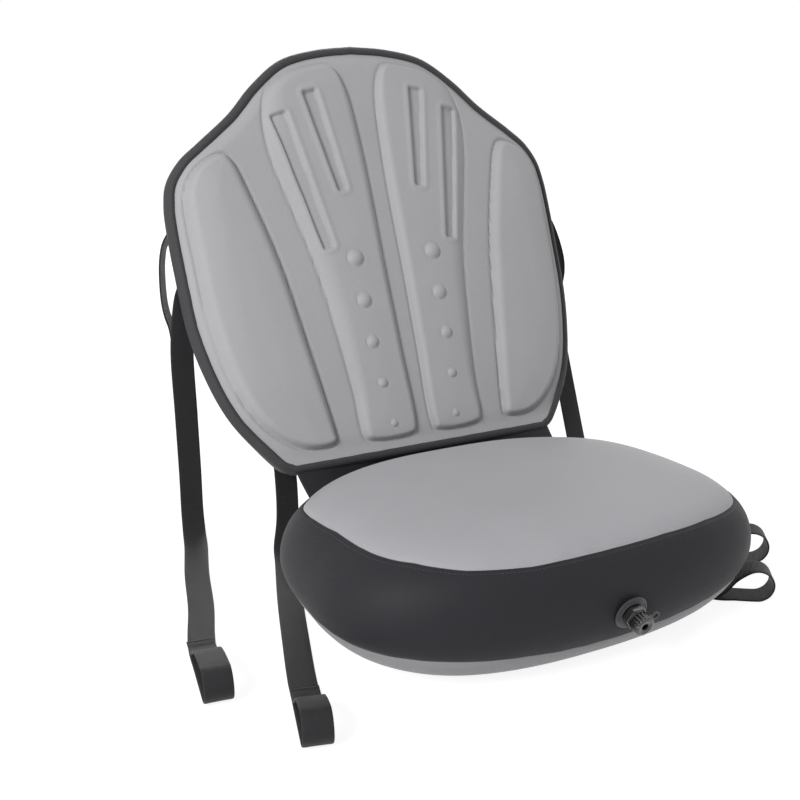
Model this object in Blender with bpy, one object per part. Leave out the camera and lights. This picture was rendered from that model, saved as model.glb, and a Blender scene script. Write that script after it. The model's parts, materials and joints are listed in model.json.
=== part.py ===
"""Kayak seat: an inflated cushion, a backrest on a cloth hinge, a valve, a pocket and four straps.

Metres, +Z up. The origin is on the floor under the middle of the cushion. The seat faces -Y, so
left and right in the names are -X and +X.
"""

import math

import bmesh
import bpy
from mathutils import Matrix, Vector

# Clearances
GAP = 0.0003                     # between pieces that touch
SEAM_GAP = 0.0004                # between two sewn panels of the cushion's cover

# Cushion
CUSHION_HALF_WIDTH = 0.212
CUSHION_FRONT = 0.139            # from the widest line to the front edge
CUSHION_REAR = 0.191             # from the widest line to the rear edge
WIDEST_Y = -0.026
PLAN_POWER = 2.67                # roundness of the plan outline
CUSHION_HEIGHT = 0.122           # at the widest line
TOP_RAKE = 0.068                 # how much the top rises towards the front, per metre
MID_HEIGHT = 0.056               # height of the outline's widest level
DOME_POWER = 5.0                 # roundness of the shoulder
FLAT_SHARE = 0.50                # share of the underside that lies flat
COVER = 0.0020                   # cover fabric
TOP_SEAM_SHARE = 0.87            # where the top panel ends, as a share of the plan outline
BASE_SEAM_HEIGHT = 0.034
AROUND = 40                      # points round the cushion

# Backrest, in its own frame: x across, z up the panel, y backwards from the front face
LEAN = math.radians(24.8)
HINGE_Y = 0.1621
HINGE_Z = 0.0935
BACK_DEPTH = 0.018
BINDING_WIDTH = 0.007
FRONT_SHEET = 0.0092
BOARD_SHEET = 0.0020
BOARD_INSET = 0.016
EDGE_ROUND = 0.0015
BOW = 0.21                       # lateral bow: depth = BOW * x * x
CURL = 3.5                       # extra curl of the side edges
CURL_START = 0.17
BOW_LINES = (0.0203, 0.0603, 0.1003, 0.1403, 0.1703, 0.1823, 0.1943, 0.2063, 0.2163)
PAD_RISE = 0.006
PAD_ROUND = 0.0025
BACK_OUTLINE = (                 # right half of the edge, from the top centre to the bottom corner
    (0.000, 0.434), (0.042, 0.4305), (0.083, 0.420), (0.1175, 0.395), (0.147, 0.3655),
    (0.1825, 0.338), (0.2035, 0.322), (0.2185, 0.302), (0.224, 0.280), (0.2255, 0.256),
    (0.225, 0.210), (0.2225, 0.149), (0.2135, 0.100), (0.2005, 0.060), (0.183, 0.030),
    (0.1635, 0.008), (0.147, 0.000),
)
SIDE_PAD = (
    (0.104, 0.015), (0.130, 0.015), (0.150, 0.027), (0.172, 0.049), (0.188, 0.083),
    (0.197, 0.125), (0.203, 0.180), (0.205, 0.235), (0.203, 0.280), (0.192, 0.306),
    (0.175, 0.319), (0.160, 0.321), (0.152, 0.308), (0.124, 0.206), (0.099, 0.030),
)
RIB_PAD = (
    (0.014, 0.013), (0.064, 0.013), (0.0685, 0.018), (0.076, 0.120), (0.086, 0.205),
    (0.104, 0.275), (0.116, 0.330), (0.106, 0.378), (0.090, 0.397), (0.060, 0.408),
    (0.032, 0.411), (0.026, 0.406), (0.018, 0.350), (0.014, 0.260), (0.011, 0.100), (0.010, 0.018),
)
OUTER_SLOT = ((0.0980, 0.3545), (0.0720, 0.220))
INNER_SLOT = ((0.0610, 0.3775), (0.0455, 0.279))
SLOT_RADIUS = 0.0062
DIMPLES = (                      # x, z and radius of the small domes on each rib
    (0.045, 0.2015, 0.0080), (0.044, 0.1565, 0.0068), (0.043, 0.1135, 0.0056),
    (0.040, 0.0705, 0.0046), (0.035, 0.0285, 0.0036),
)

# Pocket on the back
POCKET_TOP = 0.300
POCKET_BASE = 0.018
POCKET_TOP_HALF = 0.126
POCKET_BASE_HALF = 0.100
POCKET_SIDE_BAND = 0.022
POCKET_TOP_HEM = 0.014
POCKET_LOW_HEM = 0.012
POCKET_LOW_HEM_Z = 0.064         # lower edge of the mesh
POCKET_BASE_BAND = 0.016
MESH_SHEET = 0.0008
BAND_SHEET = 0.0016

# Webbing
WEB_WIDTH = 0.025
WEB_SHEET = 0.0016
FLOOR_GAP = 0.0002
BUCKLE_WIDTH = 0.034
BUCKLE_LENGTH = 0.027
BUCKLE_SHEET = 0.0040
BUCKLE_BAR = 0.0035
UPPER_TAB = (0.188, 0.254)       # x and z where the upper tab is sewn
UPPER_TAB_SLOPE = math.radians(70)
LOWER_TAB = (0.1475, 0.098)
LOWER_TAB_SLOPE = math.radians(86)
TABS = {"upper": (UPPER_TAB, UPPER_TAB_SLOPE), "lower": (LOWER_TAB, LOWER_TAB_SLOPE)}
TAB_LENGTH = 0.022
UPPER_TAB_LIFT = 0.0010          # under the sewn tab, for the curl of the panel
TAB_STEP = 0.0065                # the buckle stands this far off the panel
BAR_WRAP = 0.0033                # webbing bends round a bar at this radius

# Valve
VALVE_ANGLE = math.radians(-88.8)  # place round the cushion
VALVE_HEIGHT = 0.0613
SEAT_LIFT = 0.0008               # flange over the curved cover
FLANGE_EDGE = 0.0012
VALVE_EDGE = 0.001
VALVE_DROP = math.radians(-12)   # how far the valve points down
FLANGE_RADIUS = 0.0150
FLANGE_SHEET = 0.0022
STEM_RADIUS = 0.0062
STEM_LENGTH = 0.0195
COLLAR_RADIUS = 0.0105
COLLAR_LENGTH = 0.0065
CAP_RADIUS = 0.0088
CAP_LENGTH = 0.0085
TETHER_SHEET = 0.0014
TETHER_EAR = 0.0165              # middle of the ear, from the valve axis
TETHER_EAR_RADIUS = 0.0042
TURN_GAP = 0.0004

LIGHT_GREY = (0.36, 0.36, 0.375)
DARK_CLOTH = (0.040, 0.040, 0.045)
BLACK = (0.018, 0.018, 0.020)


def clear_scene():
    for obj in list(bpy.data.objects):
        bpy.data.objects.remove(obj, do_unlink=True)


def make_collection(name):
    coll = bpy.data.collections.new(name)
    bpy.context.scene.collection.children.link(coll)
    return coll


def make_material(name, colour, roughness, metallic=0.0):
    mat = bpy.data.materials.new(name)
    mat.use_nodes = True
    shader = mat.node_tree.nodes["Principled BSDF"]
    shader.inputs["Base Color"].default_value = (*colour, 1.0)
    shader.inputs["Roughness"].default_value = roughness
    shader.inputs["Metallic"].default_value = metallic
    return mat


def add_object(name, mesh, material, parent=None, smooth=True):
    obj = bpy.data.objects.new(name, mesh)
    mesh.materials.clear()
    mesh.materials.append(material)
    if smooth:
        mesh.shade_smooth()
        mesh.set_sharp_from_angle(angle=math.radians(35))
    seat.objects.link(obj)
    obj.parent = parent
    return obj


def face_outwards(bm):
    bmesh.ops.recalc_face_normals(bm, faces=bm.faces)
    if bm.calc_volume(signed=True) < 0:
        bmesh.ops.reverse_faces(bm, faces=bm.faces)


def loft(name, rings, closed=False):
    """Skin through rings of equal length. A closed loft runs back to its first ring."""
    bm = bmesh.new()
    rows = [[bm.verts.new(point) for point in ring] for ring in rings]
    pairs = list(zip(rows, rows[1:]))
    if closed:
        pairs.append((rows[-1], rows[0]))
    for lower, upper in pairs:
        count = len(lower)
        for i in range(count):
            j = (i + 1) % count
            bm.faces.new((lower[i], lower[j], upper[j], upper[i]))
    if not closed:
        bm.faces.new(list(reversed(rows[0])))
        bm.faces.new(rows[-1])
    face_outwards(bm)
    mesh = bpy.data.meshes.new(name)
    bm.to_mesh(mesh)
    bm.free()
    return mesh


def smooth_path(points, per_span):
    """Points of a smooth curve through the given ones."""
    pts = [Vector(p) for p in points]
    ends = [2 * pts[0] - pts[1]] + pts + [2 * pts[-1] - pts[-2]]
    path = []
    for i in range(1, len(ends) - 2):
        a, b, c, d = ends[i - 1:i + 3]
        for k in range(per_span):
            t = k / per_span
            path.append(0.5 * (2 * b + (c - a) * t + (2 * a - 5 * b + 4 * c - d) * t * t
                               + (3 * b - a - 3 * c + d) * t ** 3))
    path.append(pts[-1])
    return path


# Cushion
def signed_power(value, power):
    return math.copysign(abs(value) ** power, value)


def cushion_point(angle, s):
    """Cover point: s runs from 0 at the top's middle over 1 at the widest level to 2 at the flat base."""
    tau = min(s, 2 - s) * math.pi / 2
    upper = s <= 1
    share = math.sin(tau) ** (2 / DOME_POWER) if upper else FLAT_SHARE + (1 - FLAT_SHARE) * math.sin(tau)
    reach = CUSHION_FRONT if math.sin(angle) < 0 else CUSHION_REAR
    x = CUSHION_HALF_WIDTH * share * signed_power(math.cos(angle), 2 / PLAN_POWER)
    y = WIDEST_Y + reach * share * signed_power(math.sin(angle), 2 / PLAN_POWER)
    rise = TOP_RAKE * (WIDEST_Y - y)
    middle = MID_HEIGHT + rise
    if upper:
        z = middle + (CUSHION_HEIGHT - MID_HEIGHT) * math.cos(tau)
    else:
        z = middle * (1 - math.cos(tau))
    return Vector((x, y, z))


def cushion_inset(angle, s, depth):
    step = 0.01
    low, high = max(s - step, 0.02), min(s + step, 1.98)
    across = cushion_point(angle + step, s) - cushion_point(angle - step, s)
    down = cushion_point(angle, low) - cushion_point(angle, high)
    normal = across.cross(down).normalized()
    if s >= 1.99:
        normal = Vector((0, 0, -1))
    return cushion_point(angle, s) - normal * depth


def cushion_ring(s, depth=0.0):
    angles = [2 * math.pi * (i + 0.5) / AROUND for i in range(AROUND)]
    return [cushion_inset(a, s, depth) for a in angles]


def share_to_s(share):
    return math.asin(share ** (DOME_POWER / 2)) * 2 / math.pi


def seam_levels():
    top = share_to_s(TOP_SEAM_SHARE)
    base = 2 - math.acos(1 - BASE_SEAM_HEIGHT / MID_HEIGHT) * 2 / math.pi
    return top, base


def seam_step():
    """Change of s that opens the seam gap along the cover."""
    return SEAM_GAP / (CUSHION_HEIGHT * math.pi / 4)


def cover_shell(levels):
    outer = [cushion_ring(s) for s in levels]
    inner = [cushion_ring(s, COVER) for s in reversed(levels)]
    return outer + inner


def build_cushion():
    top, base = seam_levels()
    step = seam_step()
    crown = [share_to_s(k) for k in (0.25, 0.50, 0.68, 0.80)]
    wall = [top + (1 - top) * k for k in (0.25, 0.5, 0.75, 1.0)]
    turn = [base + (2 - base) * k for k in (0.2, 0.45, 0.7, 1.0)]
    add_object("cushion_top_panel", loft("top", cover_shell(crown + [top - step])), grey)
    band = [top + step] + wall + [1 + (base - 1) * 0.5, base - step]
    add_object("cushion_side_band", loft("band", cover_shell(band), closed=True), dark)
    add_object("cushion_base_panel", loft("base", cover_shell(turn[::-1] + [base + step])), grey)
    cell = crown + [top] + wall + [1 + (base - 1) * 0.5, base] + turn
    add_object("air_bladder", loft("cell", [cushion_ring(s, COVER + GAP) for s in cell]), cell_sheet)


# Hinge flap
FLAP_HALF_TOP = 0.1465
FLAP_HALF_BASE = 0.138
FLAP_SHEET = 0.0014
FLAP_BASE_HEIGHT = 0.062
FLAP_COLUMNS = 16


def cushion_rear(x, height):
    """Point on the cover's rear at this x and about this height."""
    y = 0.0
    for _ in range(12):
        middle = MID_HEIGHT + TOP_RAKE * (WIDEST_Y - y)
        cosine = min(1.0, (height - middle) / (CUSHION_HEIGHT - MID_HEIGHT))
        share = (1 - cosine * cosine) ** (1 / DOME_POWER)
        side = (abs(x) / (CUSHION_HALF_WIDTH * share)) ** PLAN_POWER
        y = WIDEST_Y + CUSHION_REAR * share * (1 - side) ** (1 / PLAN_POWER)
    return Vector((x, y, height))


def build_flap():
    rings = []
    for i in range(FLAP_COLUMNS + 1):
        k = 2 * i / FLAP_COLUMNS - 1
        x_top = k * FLAP_HALF_TOP
        high = back_frame @ Vector((x_top, bow(x_top) + FLAP_SHEET, -GAP))
        low = cushion_rear(k * FLAP_HALF_BASE, FLAP_BASE_HEIGHT)
        away = Vector((0, FLAP_SHEET * 0.5 + GAP * 3, 0))
        low += away
        mid = high.lerp(low, 0.5) + Vector((0, 0.0012, -0.001))
        spine = (high, high.lerp(mid, 0.5), mid, mid.lerp(low, 0.5), low)
        half = Vector((0, FLAP_SHEET * 0.5, 0))
        rings.append([p - half for p in spine] + [p + half for p in reversed(spine)])
    add_object("hinge_flap", loft("flap", rings), dark)


# Backrest
def bow(x):
    return BOW * x * x + CURL * max(0.0, abs(x) - CURL_START) ** 2


def back_outline(inset):
    """Closed outline of the backrest, moved inwards by inset."""
    half = smooth_path([(x, z, 0.0) for x, z in BACK_OUTLINE], 2)
    right = [(p.x, p.y) for p in half]
    points = right + [(-x, z) for x, z in reversed(right[1:])]
    return offset_outline(points, inset)


def offset_outline(points, inset):
    moved = []
    count = len(points)
    for i, (x, z) in enumerate(points):
        before = Vector((x, z)) - Vector(points[i - 1])
        after = Vector(points[(i + 1) % count]) - Vector((x, z))
        n1 = Vector((before.y, -before.x)).normalized()
        n2 = Vector((after.y, -after.x)).normalized()
        moved.append(Vector((x, z)) + inset * (n1 + n2) / (1 + n1.dot(n2)))
    return [(p.x, p.y) for p in moved]


def plate_mesh(name, loops, front, depth, rounding=0.0):
    """Flat plate cut from closed outlines; its front face lies at y = front."""
    curve = bpy.data.curves.new(name, "CURVE")
    curve.dimensions = "2D"
    curve.fill_mode = "BOTH"
    curve.extrude = depth / 2 - rounding
    curve.bevel_depth = rounding
    curve.bevel_resolution = 0
    curve.offset = -rounding
    for loop in loops:
        spline = curve.splines.new("POLY")
        spline.points.add(len(loop) - 1)
        for point, (x, z) in zip(spline.points, loop):
            point.co = (x, z, 0.0, 1.0)
        spline.use_cyclic_u = True
    obj = bpy.data.objects.new(name, curve)
    bpy.context.scene.collection.objects.link(obj)
    bpy.context.view_layer.update()
    depsgraph = bpy.context.evaluated_depsgraph_get()
    mesh = bpy.data.meshes.new_from_object(obj.evaluated_get(depsgraph))
    bpy.data.objects.remove(obj)
    bpy.data.curves.remove(curve)
    bm = bmesh.new()
    bm.from_mesh(mesh)
    bmesh.ops.remove_doubles(bm, verts=bm.verts, dist=0.00001)
    bm.transform(Matrix.Translation((0, front + depth / 2, 0)) @ Matrix.Rotation(math.pi / 2, 4, "X"))
    face_outwards(bm)
    bm.to_mesh(mesh)
    bm.free()
    return mesh


def bow_mesh(mesh):
    """Cut a plate along upright lines and push it into the backrest's bow."""
    bm = bmesh.new()
    bm.from_mesh(mesh)
    for line in BOW_LINES:
        for x in (line, -line):
            everything = bm.verts[:] + bm.edges[:] + bm.faces[:]
            bmesh.ops.bisect_plane(bm, geom=everything, dist=0.000001,
                                   plane_co=(x, 0, 0), plane_no=(1, 0, 0))
    for vert in bm.verts:
        vert.co.y += bow(vert.co.x)
    bm.to_mesh(mesh)
    bm.free()
    return mesh


def mirrored(loop):
    return [(-x, z) for x, z in reversed(loop)]


def slot_outline(ends):
    """Long slot with round ends between two points."""
    high, low = Vector(ends[0]), Vector(ends[1])
    along = (high - low).normalized()
    side = Vector((along.y, -along.x))
    loop = []
    for centre, sign in ((high, 1), (low, -1)):
        for k in range(5):
            turn = math.pi * (k / 4)
            loop.append(centre + sign * SLOT_RADIUS * (math.cos(turn) * side + math.sin(turn) * along))
    return [(p.x, p.y) for p in loop]


def join_solids(base, extras, name):
    """Boolean union of a mesh with others, as one new mesh."""
    body = bpy.data.objects.new(name, base)
    bpy.context.scene.collection.objects.link(body)
    for i, mesh in enumerate(extras):
        tool = bpy.data.objects.new("%s_tool_%d" % (name, i), mesh)
        cutters.objects.link(tool)
        tool.hide_render = True
        tool.display_type = "WIRE"
        mod = body.modifiers.new("join_%d" % i, "BOOLEAN")
        mod.operation = "UNION"
        mod.object = tool
    bpy.context.view_layer.update()
    depsgraph = bpy.context.evaluated_depsgraph_get()
    mesh = bpy.data.meshes.new_from_object(body.evaluated_get(depsgraph))
    bpy.data.objects.remove(body)
    return mesh


def dimple_mesh(x, z, radius):
    bm = bmesh.new()
    bmesh.ops.create_uvsphere(bm, u_segments=10, v_segments=6, radius=radius)
    squash = Matrix.Diagonal((1.0, 0.62, 1.0, 1.0))
    bm.transform(Matrix.Translation((x, -PAD_RISE, z)) @ squash @ Matrix.Rotation(math.pi / 2, 4, "X"))
    mesh = bpy.data.meshes.new("dimple")
    bm.to_mesh(mesh)
    bm.free()
    return mesh


def build_front_panel():
    base = plate_mesh("front", [back_outline(BINDING_WIDTH + GAP)], 0.0, FRONT_SHEET, EDGE_ROUND)
    sink = 0.003
    extras = []
    rib_loops = [RIB_PAD, slot_outline(OUTER_SLOT), slot_outline(INNER_SLOT)]
    for side in (1, -1):
        ribs = rib_loops if side == 1 else [mirrored(loop) for loop in rib_loops]
        pad = SIDE_PAD if side == 1 else mirrored(SIDE_PAD)
        extras.append(plate_mesh("pad", [pad], -PAD_RISE, PAD_RISE + sink, PAD_ROUND))
        extras.append(plate_mesh("rib", ribs, -PAD_RISE, PAD_RISE + sink, 0.0012))
        for x, z, radius in DIMPLES:
            extras.append(dimple_mesh(side * x, z, radius))
    mesh = join_solids(base, extras, "front_union")
    add_object("backrest_front_panel", bow_mesh(mesh), grey, back)


def build_backrest():
    build_front_panel()
    board_y = FRONT_SHEET + GAP
    board = plate_mesh("board", [back_outline(BOARD_INSET)], board_y, BOARD_SHEET)
    add_object("stiffener_board", bow_mesh(board), board_sheet, back)
    rear_y = board_y + BOARD_SHEET + GAP
    rear = plate_mesh("rear", [back_outline(BINDING_WIDTH + GAP)], rear_y, BACK_DEPTH - rear_y)
    add_object("backrest_rear_panel", bow_mesh(rear), grey, back)
    ring = plate_mesh("ring", [back_outline(0.0), back_outline(BINDING_WIDTH)], 0.0, BACK_DEPTH, EDGE_ROUND)
    add_object("edge_binding", bow_mesh(ring), dark, back)


# Pocket
def pocket_half(z):
    share = (z - POCKET_BASE) / (POCKET_TOP - POCKET_BASE)
    return POCKET_BASE_HALF + (POCKET_TOP_HALF - POCKET_BASE_HALF) * share


def bar(x_low_left, x_low_right, z_low, x_high_left, x_high_right, z_high):
    return [(x_low_left, z_low), (x_low_right, z_low), (x_high_right, z_high), (x_high_left, z_high)]


def build_pocket():
    rear = BACK_DEPTH + GAP
    inner_top = pocket_half(POCKET_TOP) - POCKET_SIDE_BAND
    inner_low = pocket_half(POCKET_BASE) - POCKET_SIDE_BAND
    side = bar(inner_low, inner_low + POCKET_SIDE_BAND, POCKET_BASE,
               inner_top, inner_top + POCKET_SIDE_BAND, POCKET_TOP)
    for name, loop in (("pocket_side_right", side), ("pocket_side_left", mirrored(side))):
        add_object(name, bow_mesh(plate_mesh(name, [loop], rear, BAND_SHEET)), black, back)

    def spread(z):
        return pocket_half(z) - POCKET_SIDE_BAND - GAP

    def cross_piece(name, z_low, z_high, front, depth, material):
        low, high = spread(z_low), spread(z_high)
        loop = bar(-low, low, z_low, -high, high, z_high)
        add_object(name, bow_mesh(plate_mesh(name, [loop], front, depth)), material, back)

    hem_top = POCKET_TOP - POCKET_TOP_HEM
    cross_piece("pocket_hem_top", hem_top, POCKET_TOP, rear, BAND_SHEET, black)
    hem_low = POCKET_LOW_HEM_Z + POCKET_LOW_HEM
    cross_piece("pocket_hem_bottom", POCKET_LOW_HEM_Z, hem_low, rear, BAND_SHEET, black)
    cross_piece("pocket_base_band", POCKET_BASE, POCKET_BASE + POCKET_BASE_BAND, rear, BAND_SHEET, black)
    cross_piece("pocket_mesh", hem_low + GAP, hem_top - GAP, rear, MESH_SHEET, mesh_cloth)
    divider = bar(-POCKET_SIDE_BAND / 2, POCKET_SIDE_BAND / 2, hem_low + GAP,
                  -POCKET_SIDE_BAND / 2, POCKET_SIDE_BAND / 2, hem_top - GAP)
    add_object("pocket_divider", bow_mesh(plate_mesh("divider", [divider], rear + MESH_SHEET + GAP,
                                                     BAND_SHEET - MESH_SHEET)), black, back)


# Buckles and tabs
def tab_matrix(place, slope, side):
    """Frame on the back: y points out of the panel's rear, z along the tab, towards its sewn end."""
    x, z = place
    spot = Vector((side * x, BACK_DEPTH + bow(x), z))
    grade = (bow(x + 0.001) - bow(x - 0.001)) / 0.002
    out = Vector((-side * grade, 1.0, 0.0)).normalized()
    along = Vector((-side * math.cos(slope), 0.0, math.sin(slope)))
    along = (along - out * along.dot(out)).normalized()
    across = out.cross(along)
    return Matrix((
        (across.x, out.x, along.x, spot.x),
        (across.y, out.y, along.y, spot.y),
        (across.z, out.z, along.z, spot.z),
        (0.0, 0.0, 0.0, 1.0),
    ))


def webbing_mesh(name, rows, width=WEB_WIDTH, sheet=WEB_SHEET):
    """Flat webbing along rows of (point, width direction, surface normal)."""
    rings = []
    for point, side, normal in rows:
        half = side * width / 2
        lift = normal * sheet / 2
        rings.append([point - half - lift, point + half - lift, point + half + lift, point - half + lift])
    return loft(name, rings)


def tab_profile(under):
    """Tab from its sewn end, over the buckle's bar and back under itself, in the tab's frame."""
    lift = WEB_SHEET / 2 + under
    top = TAB_STEP + BUCKLE_SHEET / 2
    reach = -TAB_LENGTH
    radius = BAR_WRAP
    points = [(lift, 0.012), (lift, 0.004), (lift + 0.0006, -0.004), (top - radius, reach + 0.007)]
    for k in range(1, 6):
        turn = -math.pi / 2 - math.pi * k / 6
        points.append((top + radius * math.sin(turn), reach + radius * math.cos(turn)))
    second = lift + WEB_SHEET + GAP * 2
    points += [(top + radius, reach + 0.003), (top + 0.0015, -0.009), (second + 0.0004, 0.002),
               (second, 0.005), (second, 0.011)]
    return points


def profile_rows(points):
    """Rows for webbing_mesh from (y, z) points in the tab's frame."""
    rows = []
    for i, (y, z) in enumerate(points):
        y0, z0 = points[max(i - 1, 0)]
        y1, z1 = points[min(i + 1, len(points) - 1)]
        run = Vector((0, y1 - y0, z1 - z0)).normalized()
        rows.append((Vector((0, y, z)), Vector((1, 0, 0)), run.cross(Vector((1, 0, 0)))))
    return rows


def buckle_mesh():
    """Ladder-lock buckle in the tab's frame: a frame with two slots and three bars."""
    half = BUCKLE_WIDTH / 2
    wall = (BUCKLE_WIDTH - WEB_WIDTH) / 2 - 0.0008
    top = -TAB_LENGTH + BUCKLE_BAR / 2
    base = top - BUCKLE_LENGTH
    corner = 0.003
    outer = [(-half + corner, base), (half - corner, base), (half, base + corner), (half, top - corner),
             (half - corner, top), (-half + corner, top), (-half, top - corner), (-half, base + corner)]
    slot_half = half - wall
    rung = (BUCKLE_LENGTH - 3 * BUCKLE_BAR) / 2
    loops = [outer]
    for k in range(2):
        high = top - BUCKLE_BAR - k * (rung + BUCKLE_BAR)
        low = high - rung
        loops.append([(-slot_half, low), (slot_half, low), (slot_half, high), (-slot_half, high)])
    return plate_mesh("buckle", loops, TAB_STEP, BUCKLE_SHEET, 0.0006)


def build_tabs():
    for side, word in ((-1, "left"), (1, "right")):
        for level, (place, slope) in TABS.items():
            frame = tab_matrix(place, slope, side)
            under = UPPER_TAB_LIFT if level == "upper" else GAP
            tab = webbing_mesh("tab", profile_rows(tab_profile(under)))
            tab.transform(frame)
            add_object("tab_%s_%s" % (level, word), tab, black, back)
            buckle = buckle_mesh()
            buckle.transform(frame)
            add_object("buckle_%s_%s" % (level, word), buckle, plastic, back)


# Valve
def valve_frame():
    """Frame on the cushion's band: z points out along the valve."""
    s = 1.0
    for _ in range(40):
        spot = cushion_point(VALVE_ANGLE, s)
        s += (spot.z - VALVE_HEIGHT) * 4
    outward = spot - cushion_inset(VALVE_ANGLE, s, 0.001)
    flat = Vector((outward.x, outward.y, 0)).normalized()
    axis = flat * math.cos(VALVE_DROP) + Vector((0, 0, math.sin(VALVE_DROP)))
    turn = axis.to_track_quat("Z", "Y").to_matrix().to_4x4()
    return Matrix.Translation(spot) @ turn


def turned(profile, count=24):
    """Closed turned piece from (radius, height) points; a bore is left where the profile doesn't close."""
    rings = [[(r * math.cos(2 * math.pi * i / count), r * math.sin(2 * math.pi * i / count), z)
              for i in range(count)] for r, z in profile]
    return rings


def circle(centre_x, centre_z, radius, count, start=0.0, turn=2 * math.pi):
    steps = count if turn >= 2 * math.pi else count - 1
    angles = [start + turn * i / steps for i in range(count)]
    return [(centre_x + radius * math.cos(a), centre_z + radius * math.sin(a)) for a in angles]


def tether_loops():
    """Flat ring round the stem with an ear at its side."""
    body = circle(0.0, 0.0, CAP_RADIUS, 20, math.radians(28), math.radians(304))
    ear = circle(TETHER_EAR, 0.0, TETHER_EAR_RADIUS, 12, math.radians(-150), math.radians(300))
    bore = circle(0.0, 0.0, STEM_RADIUS + GAP, 24)
    hole = circle(TETHER_EAR, 0.0, TETHER_EAR_RADIUS - 0.0018, 12)
    return [body + ear, bore, hole]


def build_valve():
    frame = valve_frame()
    flange_top = SEAT_LIFT + FLANGE_SHEET
    flange = loft("flange", turned([(FLANGE_RADIUS, SEAT_LIFT), (FLANGE_RADIUS, SEAT_LIFT + FLANGE_EDGE),
                                    (FLANGE_RADIUS - VALVE_EDGE, flange_top),
                                    (STEM_RADIUS + GAP, flange_top),
                                    (STEM_RADIUS + GAP, SEAT_LIFT)]), closed=True)
    flange.transform(frame)
    add_object("valve_flange", flange, rubber_black)
    stem_top = STEM_LENGTH
    stem = loft("stem", turned([(STEM_RADIUS, GAP), (STEM_RADIUS, stem_top - 0.006),
                                (STEM_RADIUS - 0.002, stem_top - 0.005),
                                (STEM_RADIUS - 0.002, stem_top)]))
    stem.transform(frame)
    add_object("valve_stem", stem, plastic)
    collar_base = flange_top + GAP
    collar_top = collar_base + COLLAR_LENGTH
    bore = circle(0.0, 0.0, STEM_RADIUS + GAP + 0.0006, 24)
    hexagon = circle(0.0, 0.0, COLLAR_RADIUS, 6)
    collar = plate_mesh("collar", [hexagon, bore], 0.0, COLLAR_LENGTH, 0.0006)
    collar.transform(frame @ Matrix.Translation((0, 0, collar_base)) @ Matrix.Rotation(math.pi / 2, 4, "X"))
    add_object("valve_collar", collar, plastic)
    ring_base = collar_top + GAP
    tether = plate_mesh("tether", tether_loops(), 0.0, TETHER_SHEET)
    tether.transform(frame @ Matrix.Translation((0, 0, ring_base)) @ Matrix.Rotation(math.pi / 2, 4, "X"))
    add_object("valve_tether", tether, rubber_black)
    cap_base = ring_base + TETHER_SHEET + TURN_GAP
    cap_top = cap_base + CAP_LENGTH
    cap_bore = STEM_RADIUS + TURN_GAP
    cap = loft("cap", turned([(cap_bore, cap_base), (CAP_RADIUS, cap_base),
                                     (CAP_RADIUS, cap_top - VALVE_EDGE), (CAP_RADIUS - VALVE_EDGE, cap_top),
                                     (STEM_RADIUS - 0.0025, cap_top),
                                     (STEM_RADIUS - 0.0025, stem_top + TURN_GAP),
                                     (cap_bore, stem_top + TURN_GAP)]), closed=True)
    cap.transform(frame)
    add_object("valve_cap", cap, plastic)


# Straps
BAR_PITCH = (BUCKLE_LENGTH - BUCKLE_BAR) / 2
FLOOR_Z = FLOOR_GAP + WEB_SHEET / 2


def frame_rows(controls, per_span=2):
    """Rows for webbing_mesh along a smooth line through (point, width direction) pairs."""
    points = smooth_path([point for point, _ in controls], per_span)
    sides = smooth_path([side for _, side in controls], per_span)
    rows = []
    last = len(points) - 1
    for i, point in enumerate(points):
        run = (points[min(i + 1, last)] - points[max(i - 1, 0)]).normalized()
        side = (sides[i] - run * sides[i].dot(run)).normalized()
        rows.append((point, side, run.cross(side)))
    return rows


def threaded_part(frame):
    """Webbing through a buckle, from the loose end over the top bar down to the loaded end."""
    middle_y = TAB_STEP + BUCKLE_SHEET / 2
    middle_z = -TAB_LENGTH - BAR_PITCH
    wrap = BAR_WRAP + 0.0002
    steps = (
        (BAR_WRAP + WEB_SHEET + 0.0015, BAR_PITCH + 0.004), (0.0062, BAR_PITCH),
        (0.0053, BAR_PITCH - 0.0030), (0.0030, 0.0064), (0.0002, 0.0047), (-0.0025, 0.0030),
        (-wrap, 0.0), (-0.0026, -0.0032), (0.0, -BAR_PITCH / 2), (0.0026, -BAR_PITCH + 0.0032),
        (wrap, -BAR_PITCH), (wrap, -BAR_PITCH - 0.004),
    )
    across = (frame.to_3x3() @ Vector((1, 0, 0))).normalized()
    return [(frame @ Vector((0, middle_y + y, middle_z + z)), across) for y, z in steps]


def end_loop(start, heading, length, height):
    """Control pairs of the sewn end loop: along the floor, round the nose and back over itself."""
    run = Vector((heading[0], heading[1], 0)).normalized()
    across = Vector((-run.y, run.x, 0))
    radius = height / 2
    profile = [(0.0, 0.0), (length * 0.35, 0.0), (length - radius - 0.004, 0.0)]
    for k in range(7):
        turn = math.radians(-70 + 30 * k)
        profile.append((length - radius + radius * math.cos(turn), radius + radius * math.sin(turn)))
    stacked = WEB_SHEET + GAP
    profile += [(length * 0.36, height * 0.66), (length * 0.19, height * 0.27),
                (length * 0.07, stacked + 0.0014), (-0.001, stacked + 0.0002), (-0.006, stacked),
                (-0.013, stacked)]
    base = Vector((start[0], start[1], FLOOR_Z))
    return [(base + run * s + Vector((0, 0, z)), across) for s, z in profile]


def mirror_x(controls):
    return [(Vector((-p.x, p.y, p.z)), Vector((-s.x, s.y, s.z))) for p, s in controls]


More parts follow.
